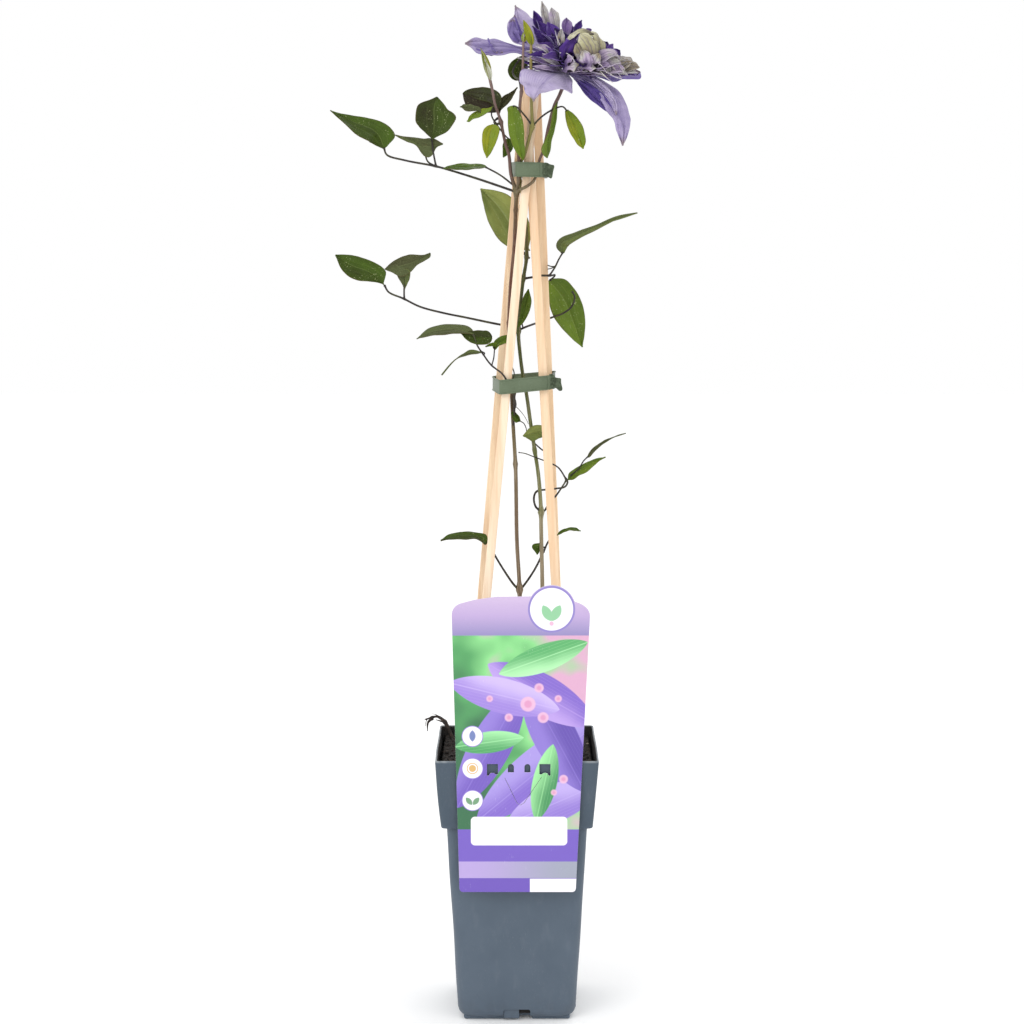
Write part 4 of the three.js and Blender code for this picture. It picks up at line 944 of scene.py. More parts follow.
          (-32, -24, 513)], (0.7, 0.6)),
        ([(-18.5, -27, 490.6), (-17.2, -24, 495), (-16.7, -16, 499.6), (-16.5, -12, 502.6)], (0.5, 0.5)),
        ([(-24.5, -26, 498.3), (-23.5, -26, 499.5), (-26, -26.5, 500.5)], (0.5, 0.5)),
    ], "curls": [
        ([(-2.6, -2, 459.9), (1.5, -3.5, 456.3), (5.9, -5.5, 450.9), (8.5, -6.5, 445.8)], (0.28, 0.2)),
        ([(-1.1, -2, 470), (-2.2, -3, 464.8), (-1.2, -3, 459.6), (-2.5, -2.4, 455.1)], (0.9, 1.2, 0.6)),
        ([(-3.7, -2, 487.8), (-2.1, -3, 483.4), (-3, -2, 478.1)], (0.5, 0.4)),
    ], "leaves": [
        shaped([(-32, -24, 513), (-45.7, -25.3, 517), (-60.4, -26, 515.6), (-73.2, -26, 509.8)],
               [0, 0, 2.5, 6.3, 7, 5.7, 2.7, 0.6, 0], [0, 4.2, 6.5, 5.6, 5, 4.5, 3.2, 1, 0], 0.36,
               (0, -0.55, 0.85), fold=3, cup=0.02, under=True),
        shaped([(-40.5, -24.5, 513.7), (-29.3, -22.5, 511), (-18.3, -21, 510.6)],
               [1.2, 1.5, 2.4, 3.7, 4.9, 5.1, 4.7, 2.6, 0], [0.1, 0.8, 3.1, 5.1, 5.9, 5.9, 5.1, 3.2, 0],
               0.14, (0, -0.95, 0.3), fold=10, cup=0.1),
        shaped([(-16.5, -12, 502), (-14, -11, 505.6), (-10.6, -10, 507.7), (-4.4, -8.5, 509.1)],
               [0.8, 1.6, 2.6, 3.1, 3.4, 3.5, 3.2, 2.2, 0], [0.8, 1.2, 1.6, 2.1, 2.7, 3.1, 3.2, 2.2, 0],
               0.46, (0, -0.9, 0.4), fold=8, cup=0.05),
        shaped([(-15.5, -12.4, 504.9), (-18.8, -12.8, 505.1), (-23.2, -13.4, 503.4)],
               [0.4, 0.8, 1.4, 1.7, 1.5, 1.1, 0.7, 0.3, 0], [0.6, 1.2, 1.5, 1.4, 1.1, 0.8, 0.5, 0.2, 0], 0.5,
               (0, -0.9, 0.4), fold=8, cup=0.05),
        shaped([(-26.7, -26.5, 500), (-32.9, -27.5, 499.9), (-38.3, -28.5, 498.6), (-44.9, -29.2, 495),
               (-55.1, -30, 483.8)], [0.5, 0.8, 2.1, 2.5, 1.5, 0.5, 0.35, 0.25, 0],
               [0.5, 0.9, 2.3, 2.9, 1.6, 0.5, 0.35, 0.25, 0], 0.42, (0, -0.6, 0.8), fold=3, cup=0.02,
               under=True),
        shaped([(-3.3, -7.5, 454.4), (0, -8.5, 450.8), (2.2, -9, 447.9)],
               [0.8, 1.1, 1.7, 1.9, 1.9, 1.6, 1, 0.7, 0], [1, 1.2, 1.9, 3, 3.4, 3.2, 3, 0.6, 0], 0.3,
               (0, -1, 0)),
    ]},
    "spray_low_middle": {"stalks": [
        ([(11.4, -4.6, 433), (15.3, -3, 429.1), (19.8, -0.5, 425.4), (22, 1, 425.3), (22.8, 1, 428.7),
          (21.8, -1.5, 440)], (0.6, 0.5)),
    ], "curls": [
        ([(1.9, -8.5, 448.2), (4.8, -9, 446.8), (6.7, -9.5, 443.1), (7.2, -10.5, 439.5)], (0.4, 0.35)),
    ], "leaves": [
        shaped([(23.4, -1.5, 438.6), (18, -6.1, 439.9), (10.3, -9.4, 438.8), (4.4, -11, 437.4)],
               [0, 1.4, 2.6, 4.1, 5.1, 6, 3.1, 0.9, 0], [0, 1.4, 3.2, 4.8, 5.6, 4.4, 2.2, 0.6, 0], 0.62,
               (0, -1, 0.2), under=True),
    ]},
    "spray_low_right": {"stalks": [
        ([(18, -5, 380), (20.5, -3, 380.5), (23, 0, 384), (30, 4, 392), (36, 5, 401), (37, 5, 403)],
          (0.8, 0.6)),
        ([(37, 5, 403), (31, 5, 412), (24.7, 3, 415.7), (20.1, -1, 418), (15.6, -7, 420.3),
          (11.1, -9, 422.2), (5.9, -9.6, 424.2), (1.1, -10, 425)], (0.65, 0.35)),
        ([(17.5, -5, 380.5), (14, -6.6, 384), (12.6, -7, 389), (13.2, -6.5, 393.5), (16, -1.2, 395.5),
          (21, 0, 396), (30, 4, 396.5), (36, 6, 397.5), (38, 6, 401), (37, 5, 403)], (0.85, 0.7)),
        ([(40, 5.2, 406), (46, 6, 411), (50, 7, 417), (53, 7, 420)], (0.5, 0.5)),
    ], "leaves": [
        shaped([(37.5, 5, 402.3), (45.6, 5.7, 408.8), (55.8, 6.7, 415.1), (66.3, 8, 419.7)],
               [0, 0, 3.4, 3.5, 3.1, 2.3, 1.7, 0.4, 0], [0, 0, 3.6, 4.1, 5.4, 3.5, 1.2, 0.2, 0], 0.52,
               (-0.25, -0.7, 0.65), fold=8, cup=0.05),
        shaped([(53.5, 7, 420.2), (60.6, 7.7, 427.7), (70.6, 8.7, 433.8), (81.5, 10, 437.4)],
               [0.5, 1.3, 2.1, 1.6, 1.3, 0.6, 0.5, 0.1, 0], [0.7, 1.7, 1.7, 1.8, 1.4, 0.9, 0.4, 0.1, 0], 0.3,
               (-0.3, -0.6, 0.7), fold=4, cup=0.02, under=True),
    ]},
    "spray_bottom_left": {"stalks": [
        ([(2, 0, 320), (-2, -1, 324), (-10, -3, 336), (-17, -4, 348), (-20, -4, 354), (-22, -3, 357.5)],
          (0.9, 0.7)),
    ], "leaves": [
        shaped([(-22.8, -3, 356.2), (-30.9, -2.3, 361.4), (-44.6, -1.3, 361.3), (-57.1, 0, 357.5)],
               [1.2, 2.7, 2.2, 4.3, 5.3, 4.1, 1.9, 0.5, 0], [1.1, 3.2, 6, 4.1, 3.6, 3.6, 3.3, 1.1, 0], 0.2,
               (0, -0.5, 0.85), fold=4, cup=0.02),
    ]},
    "spray_bottom_right": {"stalks": [
        ([(2, 0, 320), (4, 0.3, 322), (13, 1.2, 335), (20, 1.6, 349), (24, 3, 357), (29, 5.5, 360)],
          (0.9, 0.7)),
        ([(20, 1.6, 348.5), (21, 2, 351), (20, 2.6, 352.5)], (0.6, 0.5)),
    ], "leaves": [
        shaped([(18.2, 2.6, 353.3), (15.5, 3.3, 351.5), (15.1, 4, 346.5)],
               [0, 0, 1, 2.2, 2.3, 2.1, 1.4, 0.3, 0], [1.2, 2.4, 2.6, 3.1, 4.6, 2.3, 1.1, 0.3, 0], 0.3,
               (0, -1, 0.1)),
        shaped([(30.5, 5.5, 361.1), (35.7, 6.5, 364.3), (42.1, 7.3, 365.4), (48, 8, 363.8)],
               [0.1, 0.4, 1.4, 1.3, 1.7, 2, 2.2, 0.6, 0], [0, 0.2, 0.9, 1.6, 1.7, 2.2, 1.2, 0.3, 0], 0.34,
               (0, -0.45, 0.9), fold=3, cup=0.02),
    ]},
}
leafLook = {
    "across": 24, "along": 36, "edge": 0.35, "wall": 0.45, "ragged": 0.03, "crumple": 0.7,
    "ribs": [(0, 0.07, -0.4), (0.48, 0.07, -0.2)],
}
stalkJoints = {"spacing": 1.3, "rough": 0.06, "start": 1.45, "end": 1.5, "tuck": 0.6}


def veinsOf(s, along, across):  # midrib, two side veins, cross veins and a fine net, from 0 to 1
    side = across.size()
    drift = s.cloud(7, detail=2) * 0.06 - 0.03
    midrib = 1 - side.fade(0.015, 0.07)
    flank = 1 - (side - 0.48 + along * 0.14 + drift).size().fade(0.01, 0.06)
    comb = ((along * 7 - side * 2.2 + drift * 3).part() - 0.5).size() * 2
    cross = comb.fade(0.88, 0.98)
    net = 1 - s.cells(1.7).fade(0.0, 0.09)
    return midrib, flank.most(cross * 0.7), net


def leafShade(name, stops, veinTint, gloss, netShare, fleckShare):
    s = Shade(name, {"Specular IOR Level": 0.14})
    along, across, _ = s.map("bladeMap").axes()
    midrib, branches, net = veinsOf(s, along, across)
    tone = s.own("tone")
    patches = s.cloud(11, detail=3)
    half = across.fade(-0.25, 0.25) - 0.5  # one half of a blade catches more light than the other
    flecks = s.cloud(1.1, detail=2).fade(0.64, 0.72) * s.cloud(16).fade(0.4, 0.56)
    rust = s.cloud(3.1, detail=3).fade(0.7, 0.76)
    margin = across.size().fade(0.93, 1.0)
    colour = s.over(s.ramp(tone + (patches - 0.5) * 0.2 + half * 0.09, stops), (net * netShare, veinTint),
                    (branches * (tone * 0.16 + 0.03), veinTint), (midrib * (tone * 0.5 + 0.08), veinTint),
                    (flecks * fleckShare, "c8cf9a"), (rust * 0.5, "54401f"), (margin * 0.45, "5f4a2a"))
    height = net * -0.04 - branches * 0.35 - midrib * 0.6 + s.cloud(6.5) * 0.7
    return s.finish(colour, patches * 0.2 + gloss, height, 0.22, 0.8)


def petioleShade():
    s = Shade("petiole", {"Specular IOR Level": 0.15})
    patches = s.cloud(12, detail=3)
    colour = s.ramp(patches, [(0.3, "231f1d"), (0.5, "373331"), (0.7, "4c4d35")])
    colour = s.mix(s.cloud(1.5, (1, 1, 0.3)).fade(0.55, 0.7) * 0.4, colour, "5d4c4c")
    return s.finish(colour, patches * 0.2 + 0.42, s.cloud(0.8), 0.12, 0.6)


leafShades = [
    leafShade("leafTop", [(0.0, "261d12"), (0.18, "33420f"), (0.35, "435a17"), (0.5, "576d20"),
                          (0.65, "698021"), (0.85, "84881a"), (1.0, "a09c38")], "8a9c58", 0.26, 0.06, 0.6),
    leafShade("leafUnder", [(0.0, "2d2917"), (0.18, "3d3c24"), (0.4, "4f5735"), (0.6, "66733a"),
                            (0.8, "9aa25a"), (1.0, "c3c4b4")], "98a470", 0.46, 0.1, 0.25),
]
petiole = petioleShade()


def makeSpray(name, spray, seed):
    leaves = []
    for leaf in spray["leaves"]:  # each blade starts a little way down its stalk
        base, onward = [Vector(knot) for knot in leaf["spine"][:2]]
        tucked = base + (base - onward).normalized() * stalkJoints["tuck"]
        leaves.append({**leaf, "spine": [tucked, *leaf["spine"][1:]]})
    makeBlades(name + "_leaves", leaves, leafLook, leafShades, "leaf", name, seed)
    stalks = spray["stalks"]
    joints = [(points[-1], radii[-1] * stalkJoints["end"]) for points, radii in stalks]
    joints += [(points[0], radii[0] * stalkJoints["start"]) for points, radii in stalks]
    mesh = stalkMesh(name + "_stalks", stalks + spray.get("curls", []), stalkJoints["spacing"], 0.0, joints,
                     stalkJoints["rough"])
    show(name + "_stalks", mesh, [petiole], "green_stem", name)


for order, (name, spray) in enumerate(sprays.items()):
    makeSpray(name, spray, order * 11)
tell("leaves done")

# Shoot tips: small folded leaves round the end of each shoot

tipLook = {
    "across": 8, "along": 14, "edge": 0.25, "wall": 0.35, "ragged": 0.04, "crumple": 0.15,
    "ribs": [(0, 0.2, -0.15)],
}
shootTips = {
    "shoot_tip_left": [
        plain([(-19.0, -18, 696.8), (-21.7, -19, 707.4), (-26.5, -18.6, 718.6)], 2.1, 0.9, (0.9, -0.6, 0.2),
              fold=60, widest=0.45),
        plain([(-19.3, -18, 696.8), (-22.6, -18.6, 707.4), (-25.8, -18.2, 716.6)], 2.0, 0.72,
              (-0.8, -0.6, 0.2), fold=60, widest=0.4, under=True),
        plain([(-18.9, -18.6, 695.7), (-20.0, -20.2, 701.6), (-22.6, -19.8, 709.1)], 1.8, 1.0, (0.3, -1, 0),
              fold=40, widest=0.5, under=True),
        plain([(-19.6, -18.8, 696.0), (-21.4, -19.6, 701.7), (-23.6, -19.2, 708.1)], 1.3, 0.92,
              (-0.5, -0.9, 0), fold=40, widest=0.5, under=True),
    ],
    "shoot_tip_middle": [
        plain([(4.5, -26, 722.1), (6.0, -27, 728.0), (5.2, -27, 733.6)], 1.7, 0.9, (0.6, -0.8, 0.1),
              fold=46),
        plain([(4.5, -26, 722.1), (4.2, -27.4, 726.6), (5.6, -27.6, 730.1)], 1.2, 0.8, (-0.3, -1, 0),
              fold=30, under=True),
    ],
    "shoot_tip_right": [
        plain([(10.1, -26, 720.0), (9.5, -27.6, 725.1), (7.2, -27.8, 731.8), (4.5, -27, 737.8)], 3.2, 0.86,
              (-0.3, -0.95, 0.1), fold=24, widest=0.45),
        plain([(10.1, -26, 720.0), (10.3, -27, 724.5), (8.8, -28, 729.3)], 2.0, 0.78, (0.6, -0.8, 0.1),
              fold=40, widest=0.4, under=True),
    ],
}
for order, (name, blades) in enumerate(shootTips.items()):
    makeBlades(name + "_leaves", blades, tipLook, leafShades, "young_leaf", name, 200 + order * 9)
tell("shoot tips done")

# Flower: broad outer sepals, rings of pointed petals and a cream tuft, all about one leaning axis

heart = Vector((37, -12, 700))
axis = Vector((0.38, -0.54, 0.75)).normalized()
leftward = (Vector((-1, 0, 0)) + axis * axis.x).normalized()
frontward = axis.cross(leftward)
sepalLook = {
    "across": 36, "along": 56, "edge": 0.4, "wall": 0.55, "ragged": 0.06, "crumple": 2.4,
    "ribs": [(0, 0.05, -0.45), (0.2, 0.04, -0.3), (0.55, 0.05, 0.2)],
}
sepals = [
    shaped([(32.6, -9, 705.2), (2.8, -9, 718.4), (-19.6, -8, 720.6), (-37.8, -7, 722.7)],
           [3, 5, 6, 4.1, 4.9, 6.9, 8.5, 7.4, 3, 0.7, 0], [3, 5, 6.1, 4.8, 1.1, 4.1, 6, 5.5, 3.8, 1.2, 0],
           0.34, (0.1, -0.85, 0.5), fold=4, cup=0.12, wave=0.2, waves=3.5),
    shaped([(31.2, -6, 709.6), (13.8, 4, 726.1), (2.9, 13, 739.7), (-1.3, 21, 751.9)],
           [3, 5, 8.1, 9.2, 10.8, 14, 11.8, 3.5, 1.6, 0.4, 0],
           [3, 4.4, 5, 5.9, 5.8, 7.9, 8.7, 7.5, 3.4, 0.8, 0], 0.56, (0.15, -0.95, 0.3), fold=6, cup=0.1,
           wave=0.14, waves=2),
    shaped([(34.6, -16, 703), (23.5, -34, 697.3), (16.1, -50, 688.7), (11.5, -61, 679.3)],
           [3, 5, 9.7, 15, 18.5, 10.6, 4.7, 2.1, 0.9, 0.3, 0],
           [3, 5, 11, 13.2, 20.5, 18.7, 12.8, 8.7, 5.1, 1.6, 0], 0.58, (0, -0.75, 0.65), fold=-4, cup=-0.12,
           wave=0.1, waves=3),
    shaped([(38.2, -16, 701.2), (57.4, -26, 691.4), (69.3, -36, 678.2), (75, -44, 663.7),
           (75.1, -50, 648.6)], [2.4, 3, 4.8, 7.2, 9.8, 9.5, 7.5, 4.9, 2.7, 0.7, 0],
           [1.2, 2.1, 3.2, 4.3, 5.6, 6.3, 5.9, 4.9, 2.7, 0.9, 0], 0.42, (0.15, -0.9, 0.4), fold=-8,
           cup=-0.08, wave=0.14, waves=3),
    shaped([(41.1, -17, 697.6), (50.3, -25, 689.3), (59.4, -31, 680.5), (68.9, -37, 670)],
           [0.9, 1.5, 2.7, 3.4, 4.2, 4.9, 5.1, 4.7, 4.1, 1.7, 0],
           [0.7, 0.8, 1.2, 2.2, 3.4, 3.8, 3.2, 2.4, 1.2, 0.8, 0], 0.0, (-0.5, -0.8, 0.2), fold=4, cup=0.05,
           wave=0.06, waves=2),
    plain([(53.7, -28.5, 696.9), (62.6, -35.5, 689.0), (68.6, -40.5, 680.4), (70.2, -45, 670.7)], 2.1, 0.6,
          (-0.35, -0.9, 0.25), fold=12, widest=0.5, point=0.6, wave=0.15, waves=3),
    shaped([(38.3, -12, 702.8), (63, 8, 702.6), (79, 20, 701.9), (91.4, 31, 704.4)],
           [3, 5, 7.6, 10.1, 12.4, 14.1, 15.5, 14.6, 12.4, 10.8, 0],
           [3, 5, 8.8, 13.2, 14.9, 12.2, 9.6, 10.2, 4.8, 1.4, 0], 0.12, (0.1, -0.42, 0.9), fold=3, cup=0.0,
           wave=0.05, waves=2),
    plain([(37, -12, 700), (42, 17, 720), (48, 42, 733)], 14, 0.3, (0.38, -0.54, 0.75), fold=8, widest=0.5,
          point=0.8),
    # folds and creases: a darker lobe, then thin dark blades laid along the creases as painted shade
    plain([(5.8, 3, 722.4), (-1.9, 4.6, 730.4), (-3.4, 9.6, 740.9)], 4.2, 0.24, (-0.15, -0.95, 0.3), fold=6,
          cup=0.1, widest=0.6, point=0.5),
    plain([(6.5, 1, 723.7), (2.4, 3.2, 732.5), (-1.8, 9.5, 744.1)], 0.7, 0.08, (-0.15, -0.95, 0.3), fold=0,
          widest=0.4),
    plain([(-21.1, -11.6, 726.1), (-19.2, -12.6, 721.3), (-14.6, -12.2, 715.5)], 0.35, 0.2, (0, -0.85, 0.5),
          fold=0, widest=0.4),
    plain([(-29.7, -11.6, 718.8), (-21.1, -12, 714.9), (-10.2, -12, 715.8)], 0.45, 0.2, (0, -0.85, 0.5),
          fold=0, widest=0.5),
]


def petalShade(name, stops, lineTint, edgeTint, lines, edge=0.5, shadow=0.0, climb=0.1, tipBrown=0.0):
    s = Shade(name, {"Sheen Weight": 0.06, "Sheen Roughness": 0.5, "Specular IOR Level": 0.12})
    along, across, _ = s.map("bladeMap").axes()
    drift = s.cloud(9, detail=3)
    threads = ((across * lines + drift * 1.6).part() - 0.5).size() * 2
    veins = threads.fade(0.68, 0.98) * (1 - across.size().fade(0.75, 1.0) * 0.6)
    midrib = 1 - across.size().fade(0.02, 0.14)
    folds = s.cloud(5, detail=4)
    rim = across.size().fade(0.9, 1.0) * s.cloud(6).fade(0.42, 0.58)
    specks = s.cloud(1.3, detail=2).fade(0.6, 0.75)
    colour = s.ramp(s.own("tone") + (drift - 0.5) * 0.35 + (along - 0.6) * climb, stops)
    colour = s.over(colour, (veins * 0.5, lineTint), (midrib * 0.25, lineTint),
                    (folds.fade(0.52, 0.75) * 0.4, lineTint), ((1 - along.fade(0.1, 0.7)) * shadow, "180f2e"),
                    (rim * edge, edgeTint), (specks * 0.2, edgeTint),
                    (along.fade(0.88, 0.98) * tipBrown, "85736a"))
    height = veins * -0.5 + s.cloud(1.4, detail=3) * 0.35 - midrib * 0.4 + folds * 0.8
    return s.finish(colour, drift * 0.15 + 0.5, height, 0.25, 0.8)


sepalTop = petalShade("sepalTop", [(0.0, "4d3c82"), (0.14, "6d5c9e"), (0.35, "9488b0"), (0.5, "b1a4c6"),
                                   (0.7, "c0b6cf"), (1.0, "cbc0c6")], "7a69a4", "5d4f8c", 11.0, 0.7,
                      tipBrown=0.7)
sepalUnder = petalShade("sepalUnder", [(0.0, "8a80a4"), (0.5, "ada6bf"), (1.0, "c8c3d2")], "86809a", "9a92b4",
                        9.0)
makeBlades("sepals", sepals, sepalLook, (sepalTop, sepalUnder), "sepal", "flower_sepals", 300)
tell("sepals done")

petalLook = {
    "across": 10, "along": 18, "edge": 0.25, "wall": 0.4, "ragged": 0.12, "crumple": 1.0,
    "ribs": [(0, 0.2, -0.35)], "placed": {"fold": 20, "cup": 0.35, "wave": 0.24, "point": 0.85},
    "ringed": {"fold": 18, "cup": 0.25, "wave": 0.16, "widest": 0.56, "point": 0.9},
}
ringLook = {  # spans that are drawn from, and fixed places
    "seed": 41, "sink": 6, "start": 2, "stagger": 3, "lean": (4, 16), "swing": (8, 24), "short": (0.08, 0.3),
    "droop": (2, 12), "narrow": (0.1, 0.4), "light": (-0.12, 0.12),
}
petalRings = [  # angle from the axis, half width, then the turn and length of each petal, tone
    (82, 5.4, [(-16, 30), (12, 36), (38, 24), (150, 20), (174, 24), (200, 38), (232, 36), (275, 37),
               (312, 37)], 0.24),
    # the inner ring is dark: partly the petals' own violet, partly painted shade for the gaps between the
    # outer petals
    (61, 6, [(-40, 31), (-20, 30), (12, 24), (48, 19), (86, 18), (122, 14), (152, 24), (178, 28), (202, 26),
             (226, 25), (252, 23), (278, 24), (300, 23)], 0.12),
]
placedPetals = [  # a line of points, half width, the way it faces, its widest place, tone
    ([(28, -10, 719), (21, 2, 740), (18, 8, 754)], 3, (0.1, -0.8, 0.3), 0.54, 0.655),
    ([(31, -12, 719), (27, 0, 739), (25, 5, 749)], 4, (0.3, -1, 0.2), 0.59, 0.66),
    ([(27, -12, 712), (16, 0, 735), (12, 3, 747)], 4, (0.1, -1, 0.6), 0.51, 0.14),
    ([(32, -14, 708), (23, -8, 725), (14, -2, 740)], 6.4, (0.4, -0.9, 0.5), 0.45, 0.17),
    ([(32, -16, 709), (27, -11, 724), (22, -6, 738)], 6, (0.3, -0.7, 0.4), 0.57, 0.26),
    ([(31, -20, 706), (20, -14, 720), (11, -9, 735)], 4.4, (0.3, -1, 0.5), 0.54, 0.1),
    ([(32, -26, 714), (31, -24, 723), (32, -20, 732)], 3, (0.2, -1.1, 0.6), 0.51, 0.665),
    ([(35, -16, 720), (35, -10, 732), (36, -6, 741)], 4.2, (0.3, -0.7, 0.5), 0.6, 0.44),
    ([(37, -14, 720), (38, -8, 729), (39, -4, 737)], 3, (0.2, -0.7, 0.4), 0.61, 0.3),
    ([(40, -12, 723), (43, -4, 733), (47, 1, 740)], 3, (0.4, -1, 0.2), 0.46, 0.2),
    ([(43, -12, 723), (50, -6, 730), (54, -3, 733)], 3, (0.5, -0.9, 0.5), 0.48, 0.3),
    ([(35, -22, 710), (29, -18, 720), (25, -12, 730)], 3.6, (0.3, -0.9, 0.3), 0.54, 0.04),
    ([(31, -18, 709), (21, -15, 718), (14, -10, 725)], 3.6, (0.3, -0.7, 0.5), 0.61, 0.08),
    ([(33, -22, 710), (30, -21, 719), (27, -17, 726)], 3, (0.4, -0.6, 0.5), 0.45, 0.36),
    ([(32, -24, 703), (19, -24, 712), (6, -22, 716)], 2.2, (0.3, -0.4, 0.9), 0.53, 0.62),
    ([(32, -24, 702), (16, -24, 708), (0, -20, 712)], 1.7, (0.2, -0.8, 0.9), 0.53, 0.6),
    ([(32, -24, 704), (23, -23, 715), (14, -20, 721)], 2.8, (0, -0.8, 0.9), 0.62, 0.6),
    ([(31, -26, 703), (21, -28, 707), (10, -26, 711)], 2.4, (-0.1, -0.5, 0.7), 0.45, 0.46),
    ([(33, -26, 706), (26, -27, 713), (21, -24, 719)], 2.4, (0, -0.5, 0.9), 0.43, 0.3),
    ([(32, -26, 701), (22, -30, 703), (11, -30, 705)], 2.2, (0.2, -0.9, 0.8), 0.49, 0.55),
    ([(34, -28, 703), (26, -31, 709), (18, -30, 714)], 2.2, (0.3, -0.4, 0.8), 0.62, 0.58),
    ([(31, -22, 702), (16, -20, 705), (4, -16, 709)], 2.6, (0, -0.8, 0.8), 0.43, 0.16),
    ([(32, -28, 702), (25, -32, 707), (17, -32, 711)], 1.6, (0, -0.7, 0.8), 0.45, 0.64),
    ([(32, -22, 701), (21, -22, 703), (6, -22, 705)], 3.2, (-0.1, -0.5, 0.7), 0.61, 0.12),
    ([(32, -24, 701), (22, -26, 702), (11, -26, 703)], 2.4, (0.3, -0.7, 0.7), 0.52, 0.5),
    ([(33, -24, 703), (36, -30, 714), (38, -28, 722)], 5.4, (0.1, -0.8, 0.5), 0.54, 0.1),
    ([(32, -26, 707), (31, -28, 715), (33, -26, 722)], 3, (0.2, -0.8, 0.5), 0.56, 0.03),
    ([(35, -28, 703), (43, -34, 705), (52, -36, 703)], 4.2, (-0.1, -0.9, 0.7), 0.52, 0.3),
    ([(36, -28, 701), (48, -32, 702), (59, -34, 699)], 3.8, (0.1, -1.1, 0.5), 0.54, 0.5),
    ([(36, -28, 701), (52, -28, 700), (67, -30, 697)], 3.4, (-0.2, -0.8, 0.6), 0.43, 0.45),
    ([(39, -26, 702), (60, -26, 701), (76, -24, 698)], 3.4, (0.1, -0.9, 0.6), 0.49, 0.5),
    ([(34, -30, 701), (42, -38, 702), (50, -40, 701)], 3.2, (0.1, -0.7, 0.3), 0.43, 0.58),
    ([(52, -28, 705), (60, -22, 716), (65, -18, 723)], 6, (0.3, -0.5, 0.5), 0.51, 0.06),
    ([(57, -28, 704), (67, -24, 711), (74, -20, 717)], 6, (0.2, -0.8, 0.5), 0.48, 0.1),
    ([(59, -32, 709), (61, -28, 717), (63, -24, 722)], 2.8, (0.1, -0.7, 0.5), 0.5, 0.24),
    ([(61, -32, 709), (65, -28, 716), (69, -23, 721)], 2.6, (0.3, -1, 0.6), 0.57, 0.3),
    ([(62, -34, 709), (67, -31, 715), (72, -26, 715)], 2.8, (0.1, -0.9, 0.7), 0.47, 0.36),
    ([(56, -36, 702), (60, -42, 709), (67, -42, 712), (73, -37, 710)], 5.2, (0.1, -0.8, 0.7), 0.44, 0.62),
    ([(58, -36, 701), (65, -43, 705), (74, -40, 707)], 4.4, (0.1, -0.8, 0.7), 0.51, 0.64),
    ([(59, -34, 700), (68, -40, 702), (77, -37, 702)], 4.2, (0.4, -0.9, 0.5), 0.55, 0.58),
    ([(55, -36, 701), (60, -44, 704), (66, -45, 705)], 4, (0.4, -0.8, 0.5), 0.44, 0.54),
    ([(53, -34, 701), (60, -41, 702), (67, -41, 699)], 4, (0.2, -0.9, 0.7), 0.59, 0.6),
    ([(67, -30, 702), (77, -26, 708), (84, -21, 708)], 4.4, (0.1, -0.8, 0.7), 0.55, 0.7),
    ([(68, -29, 701), (80, -25, 705), (88, -19, 705)], 4.6, (0.3, -0.8, 0.4), 0.48, 0.74),
    ([(65, -30, 701), (74, -30, 705), (81, -24, 709)], 4.6, (0.3, -0.9, 0.5), 0.5, 0.72),
    ([(64, -30, 701), (77, -28, 701), (87, -21, 701)], 3.6, (0.2, -0.8, 0.8), 0.45, 0.66),
    ([(61, -32, 700), (71, -35, 700), (79, -32, 699)], 3.4, (0, -0.6, 0.8), 0.62, 0.6),
    ([(64, -26, 700), (75, -24, 699), (86, -18, 699)], 3.2, (0.2, -0.6, 0.8), 0.46, 0.3),
    ([(51, -32, 700), (55, -39, 700), (62, -40, 698)], 3.2, (0.3, -0.6, 0.7), 0.52, 0.56),
    ([(61, -34, 704), (68, -34, 709), (77, -29, 710)], 4, (0.1, -0.8, 0.5), 0.43, 0.68),
    ([(53, -34, 705), (56, -40, 710), (60, -39, 713)], 3.4, (0.2, -0.8, 0.7), 0.43, 0.34),
]
placedTuft = [
    ([(41, -30, 707), (47, -32, 716), (51, -28, 725)], 8.5, (0.1, -0.8, 0.5), 0.55, 0.16),
    ([(34, -30, 708), (36, -36, 716), (41, -34, 725)], 6.2, (0.5, -0.85, 0.2), 0.55, 0.26),
    ([(51, -38, 703), (53, -47, 713), (50, -46, 721), (45, -39, 727)], 7, (0.1, -0.8, 0.6), 0.62, 0.84),
    ([(58, -32, 726), (51, -34, 729), (43, -36, 729), (36, -36, 723)], 3, (0, -0.6, 0.8), 0.55, 0.9),
    ([(55, -36, 705), (59, -42, 714), (57, -36, 725), (52, -32, 729)], 5.4, (0.6, -0.7, 0.5), 0.6, 0.86),
    ([(47, -38, 705), (45, -45, 713), (42, -43, 720)], 4.6, (-0.2, -0.9, 0.4), 0.55, 0.7),
    ([(50, -38, 703), (49, -48, 708), (47, -49, 715)], 5.2, (-0.1, -0.9, 0.4), 0.5, 0.6),
    ([(52, -37, 702), (55, -47, 708), (58, -46, 713)], 4.6, (0.3, -0.9, 0.4), 0.5, 0.64),
    ([(32, -32, 702), (38, -40, 705), (44, -42, 705)], 5, (0.1, -0.8, 0.6), 0.5, 0.6),
    ([(34, -32, 703), (36, -39, 709), (40, -40, 711)], 3.6, (-0.1, -0.8, 0.6), 0.5, 0.5),
    ([(45, -36, 702), (50, -45, 704), (56, -45, 703)], 4.2, (0.1, -0.7, 0.7), 0.5, 0.56),
]


def flowerDirection(polar, turn):  # in degrees, from the axis and round it
    p, t = math.radians(polar), math.radians(turn)
    return axis * math.cos(p) + (leftward * math.cos(t) + frontward * math.sin(t)) * math.sin(p)


